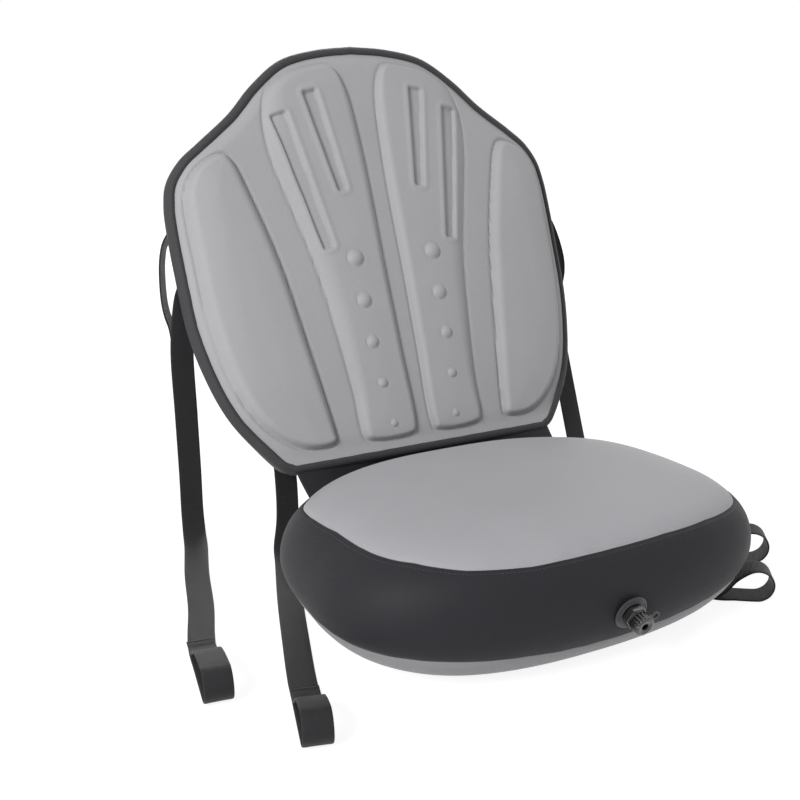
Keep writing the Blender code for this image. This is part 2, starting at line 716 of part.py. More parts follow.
# The loose end of an upper strap bows out beside the backrest (left side, world frame)
TAIL_WIDTH_LINE = (0.441, 0.897, 0.0)
UPPER_TAIL = (
    ((-0.2290, 0.2820, 0.1950), TAIL_WIDTH_LINE), ((-0.2315, 0.2812, 0.2184), TAIL_WIDTH_LINE),
    ((-0.2345, 0.2832, 0.2310), TAIL_WIDTH_LINE), ((-0.2355, 0.2880, 0.2475), TAIL_WIDTH_LINE),
    ((-0.2303, 0.3041, 0.2823), TAIL_WIDTH_LINE), ((-0.2225, 0.3140, 0.2985), (0.50, 0.86, 0.0)),
    ((-0.2120, 0.3188, 0.3080), (0.72, 0.62, 0.1)), ((-0.2000, 0.3164, 0.3070), (0.94, 0.3, 0.2)),
)
ACROSS = (1.0, 0.0, 0.0)
UPPER_LEFT_RUN = (
    ((-0.2139, 0.2792, 0.2493), ACROSS), ((-0.2225, 0.2680, 0.2250), ACROSS),
    ((-0.2268, 0.2640, 0.1950), ACROSS), ((-0.2270, 0.2635, 0.1300), ACROSS),
    ((-0.2275, 0.2620, 0.0600), ACROSS), ((-0.2290, 0.2580, 0.0250), ACROSS),
    ((-0.2320, 0.2440, 0.0055), ACROSS), ((-0.2375, 0.2190, FLOOR_Z), ACROSS),
    ((-0.2533, 0.1602, FLOOR_Z), (1.0, -0.28, 0)), ((-0.2680, 0.0950, FLOOR_Z), (1.0, -0.16, 0)),
    ((-0.2725, 0.0480, FLOOR_Z), (1.0, -0.2, 0)),
)
UPPER_LEFT_LOOP = ((-0.2745, 0.0265), (-0.0262, -0.0706), 0.0880, 0.028)
UPPER_RIGHT_RUN = (
    ((0.2115, 0.2805, 0.2490), ACROSS), ((0.2110, 0.2625, 0.2110), ACROSS),
    ((0.2080, 0.2210, 0.1280), ACROSS), ((0.2050, 0.1810, 0.0500), ACROSS),
    ((0.2045, 0.1655, 0.0210), ACROSS), ((0.2045, 0.1490, 0.0055), ACROSS),
    ((0.2040, 0.1250, FLOOR_Z), ACROSS), ((0.2030, 0.0800, FLOOR_Z), ACROSS),
    ((0.2050, 0.0380, FLOOR_Z), (1.0, 0.12, 0)), ((0.2110, 0.0020, FLOOR_Z), (0.90, 0.42, 0)),
)
UPPER_RIGHT_LOOP = ((0.2198, -0.0291), (0.84, -0.545), 0.055, 0.032)
LOWER_LEFT_RUN = (
    ((-0.1480, 0.2060, 0.0950), ACROSS), ((-0.1500, 0.1960, 0.0600), ACROSS),
    ((-0.1540, 0.1840, 0.0270), ACROSS), ((-0.1590, 0.1680, 0.0060), ACROSS),
    ((-0.1655, 0.1470, FLOOR_Z), (1.0, -0.25, 0)), ((-0.1892, 0.0747, FLOOR_Z), (1.0, -0.32, 0)),
    ((-0.2130, -0.0050, FLOOR_Z), (1.0, -0.32, 0)), ((-0.2270, -0.0540, FLOOR_Z), (1.0, -0.3, 0)),
)
LOWER_LEFT_LOOP = ((-0.2330, -0.0790), (-0.0130, -0.0530), 0.0680, 0.028)
LOWER_RIGHT_RUN = (
    ((0.1480, 0.2060, 0.0950), ACROSS), ((0.1500, 0.1960, 0.0600), ACROSS),
    ((0.1540, 0.1840, 0.0270), ACROSS), ((0.1590, 0.1680, 0.0060), ACROSS),
    ((0.1645, 0.1470, FLOOR_Z), (1.0, 0.2, 0)), ((0.1735, 0.0900, FLOOR_Z), (1.0, 0.1, 0)),
    ((0.1735, 0.0300, FLOOR_Z), ACROSS), ((0.1720, -0.0250, FLOOR_Z), ACROSS),
    ((0.1690, -0.0600, FLOOR_Z), (1.0, 0.2, 0)),
)
LOWER_RIGHT_LOOP = ((0.1715, -0.0902), (0.84, -0.545), 0.052, 0.030)


def as_pairs(table):
    return [(Vector(point), Vector(side).normalized()) for point, side in table]


def build_straps():
    for level, (place, slope) in TABS.items():
        for side, word in ((-1, "left"), (1, "right")):
            frame = back_frame @ tab_matrix(place, slope, side)
            threaded = threaded_part(frame)
            run, loop = STRAP_ROUTES[level, word]
            if level == "upper":
                tail = as_pairs(UPPER_TAIL)
                if side == 1:
                    tail = mirror_x(tail)
                    tail = [(p, -s) for p, s in tail]
            else:
                across = threaded[0][1]
                tail = [(frame @ Vector((0, TAB_STEP + 0.0092, z)), across) for z in (0.016, 0.002, -0.010)]
            controls = tail + threaded + as_pairs(run) + end_loop(*loop)
            reference = Vector((1, 0, 0))
            controls = [(p, s if s.dot(reference) > 0 else -s) for p, s in controls]
            mesh = webbing_mesh("strap", frame_rows(controls))
            add_object("strap_%s_%s" % (level, word), mesh, webbing)


STRAP_ROUTES = {
    ("upper", "left"): (UPPER_LEFT_RUN, UPPER_LEFT_LOOP),
    ("upper", "right"): (UPPER_RIGHT_RUN, UPPER_RIGHT_LOOP),
    ("lower", "left"): (LOWER_LEFT_RUN, LOWER_LEFT_LOOP),
    ("lower", "right"): (LOWER_RIGHT_RUN, LOWER_RIGHT_LOOP),
}

clear_scene()
seat = make_collection("kayak_seat")
cutters = make_collection("cutters")
cutters.hide_render = True
grey = make_material("light_grey_fabric", LIGHT_GREY, 0.6)
dark = make_material("dark_fabric", DARK_CLOTH, 0.75)
webbing = make_material("webbing", DARK_CLOTH, 0.7)
black = make_material("black_binding", BLACK, 0.7)
mesh_cloth = make_material("pocket_mesh_cloth", BLACK, 0.9)
plastic = make_material("black_plastic", BLACK, 0.3)
rubber_black = make_material("black_rubber", BLACK, 0.5)
board_sheet = make_material("stiffener_plastic", (0.30, 0.30, 0.32), 0.5)
cell_sheet = make_material("air_cell_film", (0.10, 0.10, 0.11), 0.45)

back = bpy.data.objects.new("backrest_pivot", None)
seat.objects.link(back)
back.location = (0.0, HINGE_Y, HINGE_Z)
back.rotation_euler = (-LEAN, 0.0, 0.0)
back.empty_display_size = 0.04
back_frame = Matrix.Translation((0.0, HINGE_Y, HINGE_Z)) @ Matrix.Rotation(-LEAN, 4, "X")

build_cushion()
build_flap()
build_backrest()
build_pocket()
build_tabs()
build_valve()
build_straps()
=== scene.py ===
"""Kayak seat: the dressed model, laid out as a Blender add-on and run as a script.

Metres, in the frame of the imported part: +Z up, the seat faces -Y, and left in the names is -X.
"""

import json
import math

import bmesh
import bpy
import numpy as np
from bpy.props import FloatProperty, FloatVectorProperty, PointerProperty
from mathutils import Matrix, Vector, noise

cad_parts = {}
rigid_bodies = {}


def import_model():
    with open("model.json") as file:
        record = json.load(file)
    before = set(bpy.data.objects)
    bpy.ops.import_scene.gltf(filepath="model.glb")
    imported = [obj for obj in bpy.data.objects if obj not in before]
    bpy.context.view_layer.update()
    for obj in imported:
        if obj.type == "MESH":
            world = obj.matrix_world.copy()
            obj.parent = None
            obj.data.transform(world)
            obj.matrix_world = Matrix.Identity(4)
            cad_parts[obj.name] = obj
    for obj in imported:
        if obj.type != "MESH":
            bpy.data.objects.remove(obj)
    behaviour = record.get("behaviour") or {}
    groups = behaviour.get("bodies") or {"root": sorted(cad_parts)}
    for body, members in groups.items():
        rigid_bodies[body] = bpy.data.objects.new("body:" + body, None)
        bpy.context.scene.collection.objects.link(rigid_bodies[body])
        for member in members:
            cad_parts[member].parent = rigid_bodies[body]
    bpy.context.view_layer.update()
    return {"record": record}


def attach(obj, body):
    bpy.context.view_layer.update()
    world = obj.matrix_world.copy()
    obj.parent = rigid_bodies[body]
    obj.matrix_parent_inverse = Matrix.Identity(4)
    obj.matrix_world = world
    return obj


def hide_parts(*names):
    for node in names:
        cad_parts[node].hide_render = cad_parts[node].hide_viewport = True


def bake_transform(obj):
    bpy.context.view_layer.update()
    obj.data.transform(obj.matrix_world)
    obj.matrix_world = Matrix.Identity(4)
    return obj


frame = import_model()

bl_info = {
    "name": "Kayak seat",
    "version": (1, 0, 0),
    "blender": (4, 5, 0),
    "location": "3D View > Sidebar > Kayak seat",
    "description": "Builds a kayak seat: cushion, backrest, pocket, straps, buckles and valve",
    "category": "Object",
}

FOLD, TURN = frame["record"]["behaviour"]["joints"]

# Cushion, as in the solids
HALF_WIDTH = 0.212
FRONT_REACH = 0.139
REAR_REACH = 0.191
WIDEST_Y = -0.026
PLAN_POWER = 2.67
HEIGHT = 0.122
TOP_RAKE = 0.068
MID_HEIGHT = 0.056
DOME_POWER = 5.0
FLAT_SHARE = 0.50
COVER = 0.0020
COLUMNS = 384
# Where the top panel is sewn on: degrees round the plan and share of its outline
TOP_SEAM = (
    (0, 0.915), (40, 0.930), (90, 0.915), (130, 0.930), (148, 0.915), (162, 0.868), (175, 0.835),
    (190, 0.824), (207, 0.826), (221, 0.856), (240, 0.872), (266, 0.871), (297, 0.866), (315, 0.876),
    (335, 0.912),
)
SEAM_SHARE = 0.0013
SEAM_TURN = 0.005
# Height of the lower seam over the floor, its extra height at the sides, and what turns it into an angle
BASE_SEAM = 0.033
BASE_SEAM_RISE = 0.016
BASE_SEAM_FULL = 0.0655
# Rows of the top panel, of the band above and below the widest line, and of the base panel
TOP_ROWS = 46
UPPER_ROWS = 18
LOWER_ROWS = 14
BASE_ROWS = 24
# What a seam does to the cover: widths of its sharp and soft fold, then puckers and unevenness
SHARP_FOLD = 0.0022
SOFT_FOLD = 0.011
PUCKER = 0.0004
PUCKER_REACH = 0.012
UNEVEN = 0.0008
LIFTED = 0.004

# Backrest in its own frame: x across, z up the panel, y backwards from the front face
LEAN = math.radians(24.8)
BACK = Matrix.Translation(FOLD["pos_m"]) @ Matrix.Rotation(-LEAN, 4, "X")
BACK_DEPTH = 0.018
FRONT_SHEET = 0.0092
BOW = 0.21
CURL = 3.5
CURL_START = 0.17
BACK_OUTLINE = (
    (0.000, 0.434), (0.042, 0.4305), (0.083, 0.420), (0.1175, 0.395), (0.147, 0.3655),
    (0.1825, 0.338), (0.2035, 0.322), (0.2185, 0.302), (0.224, 0.280), (0.2255, 0.256),
    (0.225, 0.210), (0.2225, 0.149), (0.2135, 0.100), (0.2005, 0.060), (0.183, 0.030),
    (0.1635, 0.008), (0.147, 0.000),
)
# Raised pads: x, z and the width of the shoulder there
SIDE_PAD = (
    (0.103, 0.015, 0.005), (0.128, 0.015, 0.006), (0.150, 0.026, 0.007), (0.172, 0.048, 0.009),
    (0.189, 0.082, 0.010), (0.199, 0.125, 0.010), (0.205, 0.180, 0.010), (0.207, 0.245, 0.010),
    (0.207, 0.271, 0.009), (0.203, 0.292, 0.008), (0.192, 0.309, 0.007), (0.177, 0.319, 0.007),
    (0.163, 0.323, 0.007), (0.155, 0.316, 0.008), (0.142, 0.277, 0.010), (0.125, 0.209, 0.010),
    (0.112, 0.125, 0.009), (0.099, 0.028, 0.007), (0.099, 0.019, 0.005),
)
RIB_PAD = (
    (0.014, 0.013, 0.005), (0.062, 0.013, 0.005), (0.068, 0.018, 0.007), (0.070, 0.060, 0.012),
    (0.076, 0.125, 0.017), (0.086, 0.200, 0.021), (0.101, 0.265, 0.023), (0.113, 0.320, 0.024),
    (0.113, 0.362, 0.022), (0.102, 0.391, 0.017), (0.078, 0.405, 0.010), (0.055, 0.410, 0.007),
    (0.033, 0.412, 0.006), (0.026, 0.406, 0.006), (0.018, 0.385, 0.008), (0.013, 0.340, 0.010),
    (0.011, 0.275, 0.010), (0.011, 0.190, 0.009), (0.010, 0.100, 0.008), (0.010, 0.018, 0.006),
)
# Pressed slots: upper and lower end, with the half width at each
SLOTS = (
    ((0.0980, 0.3545, 0.0094), (0.0720, 0.220, 0.0068)),
    ((0.0610, 0.3775, 0.0088), (0.0455, 0.279, 0.0062)),
)
DIMPLES = (
    (0.045, 0.2015, 0.0086), (0.044, 0.1565, 0.0076), (0.0432, 0.1125, 0.0064),
    (0.0405, 0.0690, 0.0052), (0.036, 0.0260, 0.0040),
)
# How far the edge bends back in front and forward behind, and how far the tape reaches down below it
EDGE_BEND = 0.0045
REAR_BEND = 0.0060
BINDING_DROP = 0.0075
PANEL_INSET = 0.0035
PANEL_DROP = BINDING_DROP - 0.0015
EDGE_SAMPLES = 160
BINDING_SAMPLES = 640

# Pocket
POCKET_TOP = 0.300
POCKET_BASE = 0.018
POCKET_TOP_HALF = 0.126
POCKET_BASE_HALF = 0.100
POCKET_SIDE_BAND = 0.022
POCKET_TOP_HEM = 0.014
POCKET_LOW_HEM = 0.012
POCKET_LOW_HEM_Z = 0.064
POCKET_BASE_BAND = 0.016
SIDE_TAPE = 0.0018
HEM_TAPE = 0.0016
DIVIDER_TAPE = 0.0014
DIVIDER_LIFT = 0.0022
NET_SHEET = 0.0006

# Webbing, tabs and buckles
WEB_WIDTH = 0.0238
WEB_SHEET = 0.0016
GAP = 0.0003
FLOOR_Z = 0.001
BUCKLE_LENGTH = 0.027
BUCKLE_SHEET = 0.0040
BUCKLE_BAR = 0.0035
BAR_PITCH = (BUCKLE_LENGTH - BUCKLE_BAR) / 2
BAR_WRAP = 0.0033
TAB_LENGTH = 0.022
TAB_STEP = 0.0065
# Box stitch of a tab: half width, lower and upper edge
BOX_HALF = 0.0085
BOX_LOW = 0.0025
BOX_HIGH = 0.0098
TABS = {
    "upper": ((0.188, 0.254), math.radians(70), 0.0010),
    "lower": ((0.1475, 0.098), math.radians(86), 0.0003),
}
ACROSS = (1.0, 0.0, 0.0)
TAIL_LINE = (0.441, 0.897, 0.0)
UPPER_TAIL = (
    ((-0.2290, 0.2820, 0.1950), TAIL_LINE), ((-0.2315, 0.2812, 0.2184), TAIL_LINE),
    ((-0.2345, 0.2832, 0.2310), TAIL_LINE), ((-0.2355, 0.2880, 0.2475), TAIL_LINE),
    ((-0.2303, 0.3041, 0.2823), TAIL_LINE), ((-0.2225, 0.3140, 0.2985), (0.50, 0.86, 0.0)),
    ((-0.2120, 0.3188, 0.3080), (0.72, 0.62, 0.1)), ((-0.2000, 0.3164, 0.3070), (0.94, 0.3, 0.2)),
)
# Each strap: its run from the buckle to the floor, then its loop's start, heading, length and height
ROUTES = {
    ("upper", "left"): ((
        ((-0.2139, 0.2792, 0.2493), ACROSS), ((-0.2225, 0.2680, 0.2250), ACROSS),
        ((-0.2268, 0.2640, 0.1950), ACROSS), ((-0.2270, 0.2635, 0.1300), ACROSS),
        ((-0.2275, 0.2620, 0.0600), ACROSS), ((-0.2290, 0.2580, 0.0250), ACROSS),
        ((-0.2320, 0.2440, 0.0055), ACROSS), ((-0.2375, 0.2190, FLOOR_Z), ACROSS),
        ((-0.2533, 0.1602, FLOOR_Z), (1.0, -0.28, 0)), ((-0.2680, 0.0950, FLOOR_Z), (1.0, -0.16, 0)),
        ((-0.2815, 0.0480, FLOOR_Z), (1.0, -0.15, 0)),
    ), ((-0.2865, 0.0265), (-0.0105, -0.0830), 0.0870, 0.028)),
    ("upper", "right"): ((
        ((0.2115, 0.2805, 0.2490), ACROSS), ((0.2110, 0.2625, 0.2110), ACROSS),
        ((0.2080, 0.2210, 0.1280), ACROSS), ((0.2050, 0.1810, 0.0500), ACROSS),
        ((0.2045, 0.1655, 0.0210), ACROSS), ((0.2045, 0.1490, 0.0055), ACROSS),
        ((0.2040, 0.1250, FLOOR_Z), ACROSS), ((0.2030, 0.0800, FLOOR_Z), ACROSS),
        ((0.2050, 0.0380, FLOOR_Z), (1.0, 0.12, 0)), ((0.2110, 0.0020, FLOOR_Z), (0.90, 0.42, 0)),
    ), ((0.2198, -0.0291), (0.84, -0.545), 0.055, 0.032)),
    ("lower", "left"): ((
        ((-0.1450, 0.2060, 0.0950), ACROSS), ((-0.1455, 0.1960, 0.0600), ACROSS),
        ((-0.1500, 0.1840, 0.0270), ACROSS), ((-0.1590, 0.1680, 0.0060), ACROSS),
        ((-0.1655, 0.1470, FLOOR_Z), (1.0, -0.25, 0)), ((-0.1892, 0.0747, FLOOR_Z), (1.0, -0.32, 0)),
        ((-0.2130, -0.0050, FLOOR_Z), (1.0, -0.32, 0)), ((-0.2270, -0.0540, FLOOR_Z), (1.0, -0.3, 0)),
    ), ((-0.2330, -0.0790), (-0.0130, -0.0530), 0.0680, 0.028)),
    ("lower", "right"): ((
        ((0.1480, 0.2060, 0.0950), ACROSS), ((0.1500, 0.1960, 0.0600), ACROSS),
        ((0.1540, 0.1840, 0.0270), ACROSS), ((0.1590, 0.1680, 0.0060), ACROSS),
        ((0.1645, 0.1470, FLOOR_Z), (1.0, 0.2, 0)), ((0.1735, 0.0900, FLOOR_Z), (1.0, 0.1, 0)),
        ((0.1735, 0.0300, FLOOR_Z), ACROSS), ((0.1720, -0.0250, FLOOR_Z), ACROSS),
        ((0.1690, -0.0600, FLOOR_Z), (1.0, 0.2, 0)),
    ), ((0.1715, -0.0902), (0.84, -0.545), 0.052, 0.030)),
}

# Camera at the photograph's viewing angle
CAMERA_PLACE = (-0.4821, -0.7524, 0.4945)
CAMERA_PITCH = math.radians(90 - 18.88)
CAMERA_HEADING = math.radians(-26.191)
CAMERA_LENS = 47.65


# Curves and meshes
def smooth_curve(points, per_span, closed=False, power=0.5):
    """Points of a smooth curve through the given ones, with knots spaced by distance to a power."""
    pts = np.asarray(points, float)
    if closed:
        ends = np.vstack([pts[-1], pts, pts[:2]])
    else:
        ends = np.vstack([2 * pts[0] - pts[1], pts, 2 * pts[-1] - pts[-2]])
    path = []
    for a, b, c, d in zip(ends, ends[1:], ends[2:], ends[3:]):
        t1 = np.linalg.norm(b - a) ** power
        t2 = t1 + np.linalg.norm(c - b) ** power
        t3 = t2 + np.linalg.norm(d - c) ** power
        t = np.linspace(t1, t2, per_span, endpoint=False)[:, None]
        a1 = (t1 - t) / t1 * a + t / t1 * b
        a2 = (t2 - t) / (t2 - t1) * b + (t - t1) / (t2 - t1) * c
        a3 = (t3 - t) / (t3 - t2) * c + (t - t2) / (t3 - t2) * d
        b1 = (t2 - t) / t2 * a1 + t / t2 * a2
        b2 = (t3 - t) / (t3 - t1) * a2 + (t - t1) / (t3 - t1) * a3
        path.append((t2 - t) / (t2 - t1) * b1 + (t - t1) / (t2 - t1) * b2)
    if not closed:
        path.append(pts[-1:])
    return np.vstack(path)


def arc_lengths(points):
    steps = np.linalg.norm(np.diff(points, axis=0), axis=1)
    return np.concatenate([[0.0], np.cumsum(steps)])


def even_points(points, count):
    """The same curve with evenly spaced points."""
    lengths = arc_lengths(points)
    wanted = np.linspace(0.0, lengths[-1], count)
    return np.stack([np.interp(wanted, lengths, points[:, k]) for k in range(points.shape[1])], axis=1)


def ease(t):
    t = np.clip(t, 0.0, 1.0)
    return t * t * (3 - 2 * t)


def soft_noise(points, scale, seed=0.0):
    """Smooth noise from -1 to 1 at each point."""
    return np.array([noise.noise(Vector((x / scale + seed, y / scale, z / scale))) for x, y, z in points])


def finish_mesh(name, verts, faces, look, uvs, sharp=None):
    """Object from points and faces, faces outwards, shaded smooth."""
    mesh = bpy.data.meshes.new(name)
    mesh.from_pydata(np.asarray(verts, float).tolist(), [], faces)
    layer = mesh.uv_layers.new(name="UVMap")
    corners = np.empty(len(mesh.loops), int)
    mesh.loops.foreach_get("vertex_index", corners)
    layer.data.foreach_set("uv", np.asarray(uvs, float)[corners].ravel())
    turn_outwards(mesh)
    mesh.shade_smooth()
    if sharp:
        mesh.set_sharp_from_angle(angle=math.radians(sharp))
    return link_mesh(name, mesh, look)


def link_mesh(name, mesh, look):
    mesh.materials.append(look)
    obj = bpy.data.objects.new(name, mesh)
    bpy.context.scene.collection.objects.link(obj)
    return obj


def turn_outwards(mesh):
    bm = bmesh.new()
    bm.from_mesh(mesh)
    bmesh.ops.recalc_face_normals(bm, faces=bm.faces)
    if bm.calc_volume(signed=True) < 0:
        bmesh.ops.reverse_faces(bm, faces=bm.faces)
    bm.to_mesh(mesh)
    bm.free()


def grid_quads(rows, columns, start=0, wrap_rows=False, wrap_columns=False):
    """Quads of a grid of points that is stored row by row."""
    quads = []
    for i in range(rows if wrap_rows else rows - 1):
        below = start + i * columns
        above = start + ((i + 1) % rows) * columns
        for j in range(columns if wrap_columns else columns - 1):
            k = (j + 1) % columns
            quads.append((below + j, below + k, above + k, above + j))
    return quads


def tube_faces(rows, around):
    """Faces of a tube of points that is stored ring by ring, with a cap at each end."""
    end = (rows - 1) * around
    faces = grid_quads(rows, around, wrap_columns=True)
    faces.append(tuple(range(around)))
    faces.append(tuple(reversed(range(end, end + around))))
    return faces


def sheet_faces(rows, columns):
    """Faces of two facing grids of points, stored one after the other, and of the rim between them."""
    start = rows * columns
    faces = grid_quads(rows, columns)
    faces += [tuple(reversed(quad)) for quad in grid_quads(rows, columns, start)]
    rim = list(range(columns)) + [i * columns + columns - 1 for i in range(1, rows)]
    rim += [(rows - 1) * columns + j for j in range(columns - 2, -1, -1)]
    rim += [i * columns for i in range(rows - 2, 0, -1)]
    for a, b in zip(rim, rim[1:] + rim[:1]):
        faces.append((b, a, a + start, b + start))
    return faces


# Materials
class Nodes:
    """Adds linked nodes to one tree."""

    def __init__(self, tree):
        self.tree = tree

    def add(self, kind, values=None, **settings):
        node = self.tree.nodes.new(kind)
        for key, value in settings.items():
            setattr(node, key, value)
        for key, value in (values or {}).items():
            self.feed(node.inputs[key], value)
        return node

    def feed(self, socket, value):
        if isinstance(value, bpy.types.NodeSocket):
            self.tree.links.new(value, socket)
        else:
            socket.default_value = value

    def math(self, operation, first, second=0.0, third=0.0):
        node = self.add("ShaderNodeMath", operation=operation)
        for socket, value in zip(node.inputs, (first, second, third)):
            self.feed(socket, value)
        return node.outputs[0]


def new_group(name, inputs, outputs):
    """Shader node group with float sockets, or a vector socket for an input named Vector."""
    tree = bpy.data.node_groups.new(name, "ShaderNodeTree")
    for label, value in inputs.items():
        kind = "NodeSocketVector" if label == "Vector" else "NodeSocketFloat"
        socket = tree.interface.new_socket(label, in_out="INPUT", socket_type=kind)
        if label != "Vector":
            socket.default_value = value
    for label in outputs:
        tree.interface.new_socket(label, in_out="OUTPUT", socket_type="NodeSocketFloat")
    make = Nodes(tree)
    return make, make.add("NodeGroupInput").outputs, make.add("NodeGroupOutput").inputs


def build_groups():
    """Shared effects: mottling, a woven surface, and the ribs of tape."""
    make, given, out = new_group(
        "Mottle", {"Vector": None, "Size": 0.03, "Amount": 0.1}, ("Tone", "Mask"))
    scale = make.math("DIVIDE", 1.0, given["Size"])
    cloud = make.add("ShaderNodeTexNoise", {"Vector": given["Vector"], "Scale": scale, "Detail": 5.0,
                                            "Roughness": 0.55})
    offset = make.math("SUBTRACT", cloud.outputs["Fac"], 0.5)
    swing = make.math("MULTIPLY", offset, given["Amount"])
    make.feed(out["Tone"], make.math("MULTIPLY_ADD", swing, 2.0, 1.0))
    make.feed(out["Mask"], cloud.outputs["Fac"])

    make, given, out = new_group(
        "Cloth weave", {"Vector": None, "Pitch": 0.0008, "Slub": 0.35}, ("Height", "Tone"))
    parts = make.add("ShaderNodeSeparateXYZ", {"Vector": given["Vector"]}).outputs
    turns = make.math("DIVIDE", 2 * math.pi, given["Pitch"])
    waves = [make.math("SINE", make.math("MULTIPLY", part, turns)) for part in parts]
    first = make.math("MULTIPLY", waves[0], waves[1])
    second = make.math("MULTIPLY", waves[1], waves[2])
    third = make.math("MULTIPLY", waves[2], waves[0])
    woven = make.math("ADD", make.math("ADD", first, second), third)
    slub = make.add("ShaderNodeTexNoise", {"Vector": given["Vector"], "Scale": 900.0, "Detail": 2.0})
    uneven = make.math("MULTIPLY", slub.outputs["Fac"], given["Slub"])
    height = make.math("MULTIPLY_ADD", woven, 0.25, uneven)
    make.feed(out["Height"], height)
    make.feed(out["Tone"], make.math("MULTIPLY_ADD", height, 0.12, 0.97))

    make, given, out = new_group(
        "Tape ribs", {"Vector": None, "Rib": 0.0012, "Width": WEB_WIDTH}, ("Height", "Tone"))
    parts = make.add("ShaderNodeSeparateXYZ", {"Vector": given["Vector"]}).outputs
    along = make.math("MULTIPLY", parts["Y"], make.math("DIVIDE", 2 * math.pi, given["Rib"]))
    across = make.math("MULTIPLY", parts["X"], make.math("DIVIDE", 4 * math.pi, given["Rib"]))
    ribs = make.math("SINE", along)
    cords = make.math("MULTIPLY_ADD", make.math("SINE", across), 0.5, 0.5)
    fuzz = make.add("ShaderNodeTexNoise", {"Vector": given["Vector"], "Scale": 1400.0, "Detail": 2.0})
    body = make.math("MULTIPLY_ADD", ribs, 0.32, make.math("MULTIPLY", cords, 0.22))
    height = make.math("MULTIPLY_ADD", fuzz.outputs["Fac"], 0.4, body)
    middle = make.math("ABSOLUTE", parts["X"])
    near_edge = make.math("DIVIDE", middle, make.math("MULTIPLY", given["Width"], 0.5))
    selvedge = make.math("SMOOTH_MAX", make.math("SUBTRACT", near_edge, 0.86), 0.0, 0.02)
    make.feed(out["Height"], make.math("MULTIPLY_ADD", selvedge, 3.0, height))
    make.feed(out["Tone"], make.math("MULTIPLY_ADD", height, 0.30, 0.86))


def place_group(make, name, **values):
    node = make.add("ShaderNodeGroup", node_tree=bpy.data.node_groups[name])
    for key, value in values.items():
        make.feed(node.inputs[key], value)
    return node.outputs


def tinted(make, colour, *tones):
    """Colour multiplied by tone values."""
    total = tones[0]
    for tone in tones[1:]:
        total = make.math("MULTIPLY", total, tone)
    mix = make.add("ShaderNodeVectorMath", operation="SCALE")
    mix.inputs[0].default_value = colour[:3]
    make.feed(mix.inputs["Scale"], total)
    return mix.outputs[0]


def surface(name, roughness, **plain):
    """New material with a Principled shader, its plain values set on the shader's own sockets."""
    mat = bpy.data.materials.new(name)
    mat.use_nodes = True
    shader = mat.node_tree.nodes["Principled BSDF"]
    shader.inputs["Roughness"].default_value = roughness
    for label, value in plain.items():
        shader.inputs[label.replace("_", " ")].default_value = value
    return mat, Nodes(mat.node_tree), shader.inputs


def bump(make, height, distance, strength=1.0, under=None):
    values = {"Height": height, "Distance": distance, "Strength": strength}
    if under is not None:
        values["Normal"] = under
    return make.add("ShaderNodeBump", values).outputs["Normal"]


def coated_cloth(name, colour, roughness, pitch, relief, mottle, sheen):
    """Coated cloth of the cushion: a fine weave under a thin film, with faint mottling."""
    mat, make, sockets = surface(name, roughness, Sheen_Weight=sheen, Sheen_Roughness=0.5,
                                 Specular_IOR_Level=0.16)
    place = make.add("ShaderNodeTexCoord").outputs["Object"]
    weave = place_group(make, "Cloth weave", Vector=place, Pitch=pitch, Slub=0.4)
    cloud = place_group(make, "Mottle", Vector=place, Size=0.05, Amount=mottle)
    make.feed(sockets["Base Color"], tinted(make, colour, weave["Tone"], cloud["Tone"]))
    make.feed(sockets["Roughness"], make.math("MULTIPLY_ADD", cloud["Mask"], 0.12, roughness - 0.06))
    waves = bump(make, cloud["Mask"], 0.0006)
    make.feed(sockets["Normal"], bump(make, weave["Height"], relief, 0.6, waves))
    return mat


def foam(name, colour):
    """Moulded foam with a thin knitted face."""
    mat, make, sockets = surface(name, 0.62, Sheen_Weight=0.12, Sheen_Roughness=0.6,
                                 Specular_IOR_Level=0.3)
    place = make.add("ShaderNodeTexCoord").outputs["UV"]
    knit = place_group(make, "Cloth weave", Vector=place, Pitch=0.0011, Slub=0.7)
    cloud = place_group(make, "Mottle", Vector=place, Size=0.06, Amount=0.05)
    fine = place_group(make, "Mottle", Vector=place, Size=0.004, Amount=0.035)
    make.feed(sockets["Base Color"], tinted(make, colour, knit["Tone"], cloud["Tone"], fine["Tone"]))
    make.feed(sockets["Roughness"], make.math("MULTIPLY_ADD", fine["Mask"], 0.14, 0.55))
    waves = bump(make, fine["Mask"], 0.00022)
    make.feed(sockets["Normal"], bump(make, knit["Height"], 0.00012, 0.6, waves))
    return mat


def tape(name, colour, rib, width, roughness, relief):
    """Woven tape whose ribs follow its UV map: x across and y along, both in metres."""
    mat, make, sockets = surface(name, roughness, Sheen_Weight=0.05, Sheen_Roughness=0.45,
                                 Specular_IOR_Level=0.16)
    place = make.add("ShaderNodeTexCoord").outputs["UV"]
    ribs = place_group(make, "Tape ribs", Vector=place, Rib=rib, Width=width)
    cloud = place_group(make, "Mottle", Vector=place, Size=0.02, Amount=0.12)
    make.feed(sockets["Base Color"], tinted(make, colour, ribs["Tone"], cloud["Tone"]))
    make.feed(sockets["Roughness"], make.math("MULTIPLY_ADD", cloud["Mask"], 0.16, roughness - 0.08))
    make.feed(sockets["Normal"], bump(make, ribs["Height"], relief))
    return mat


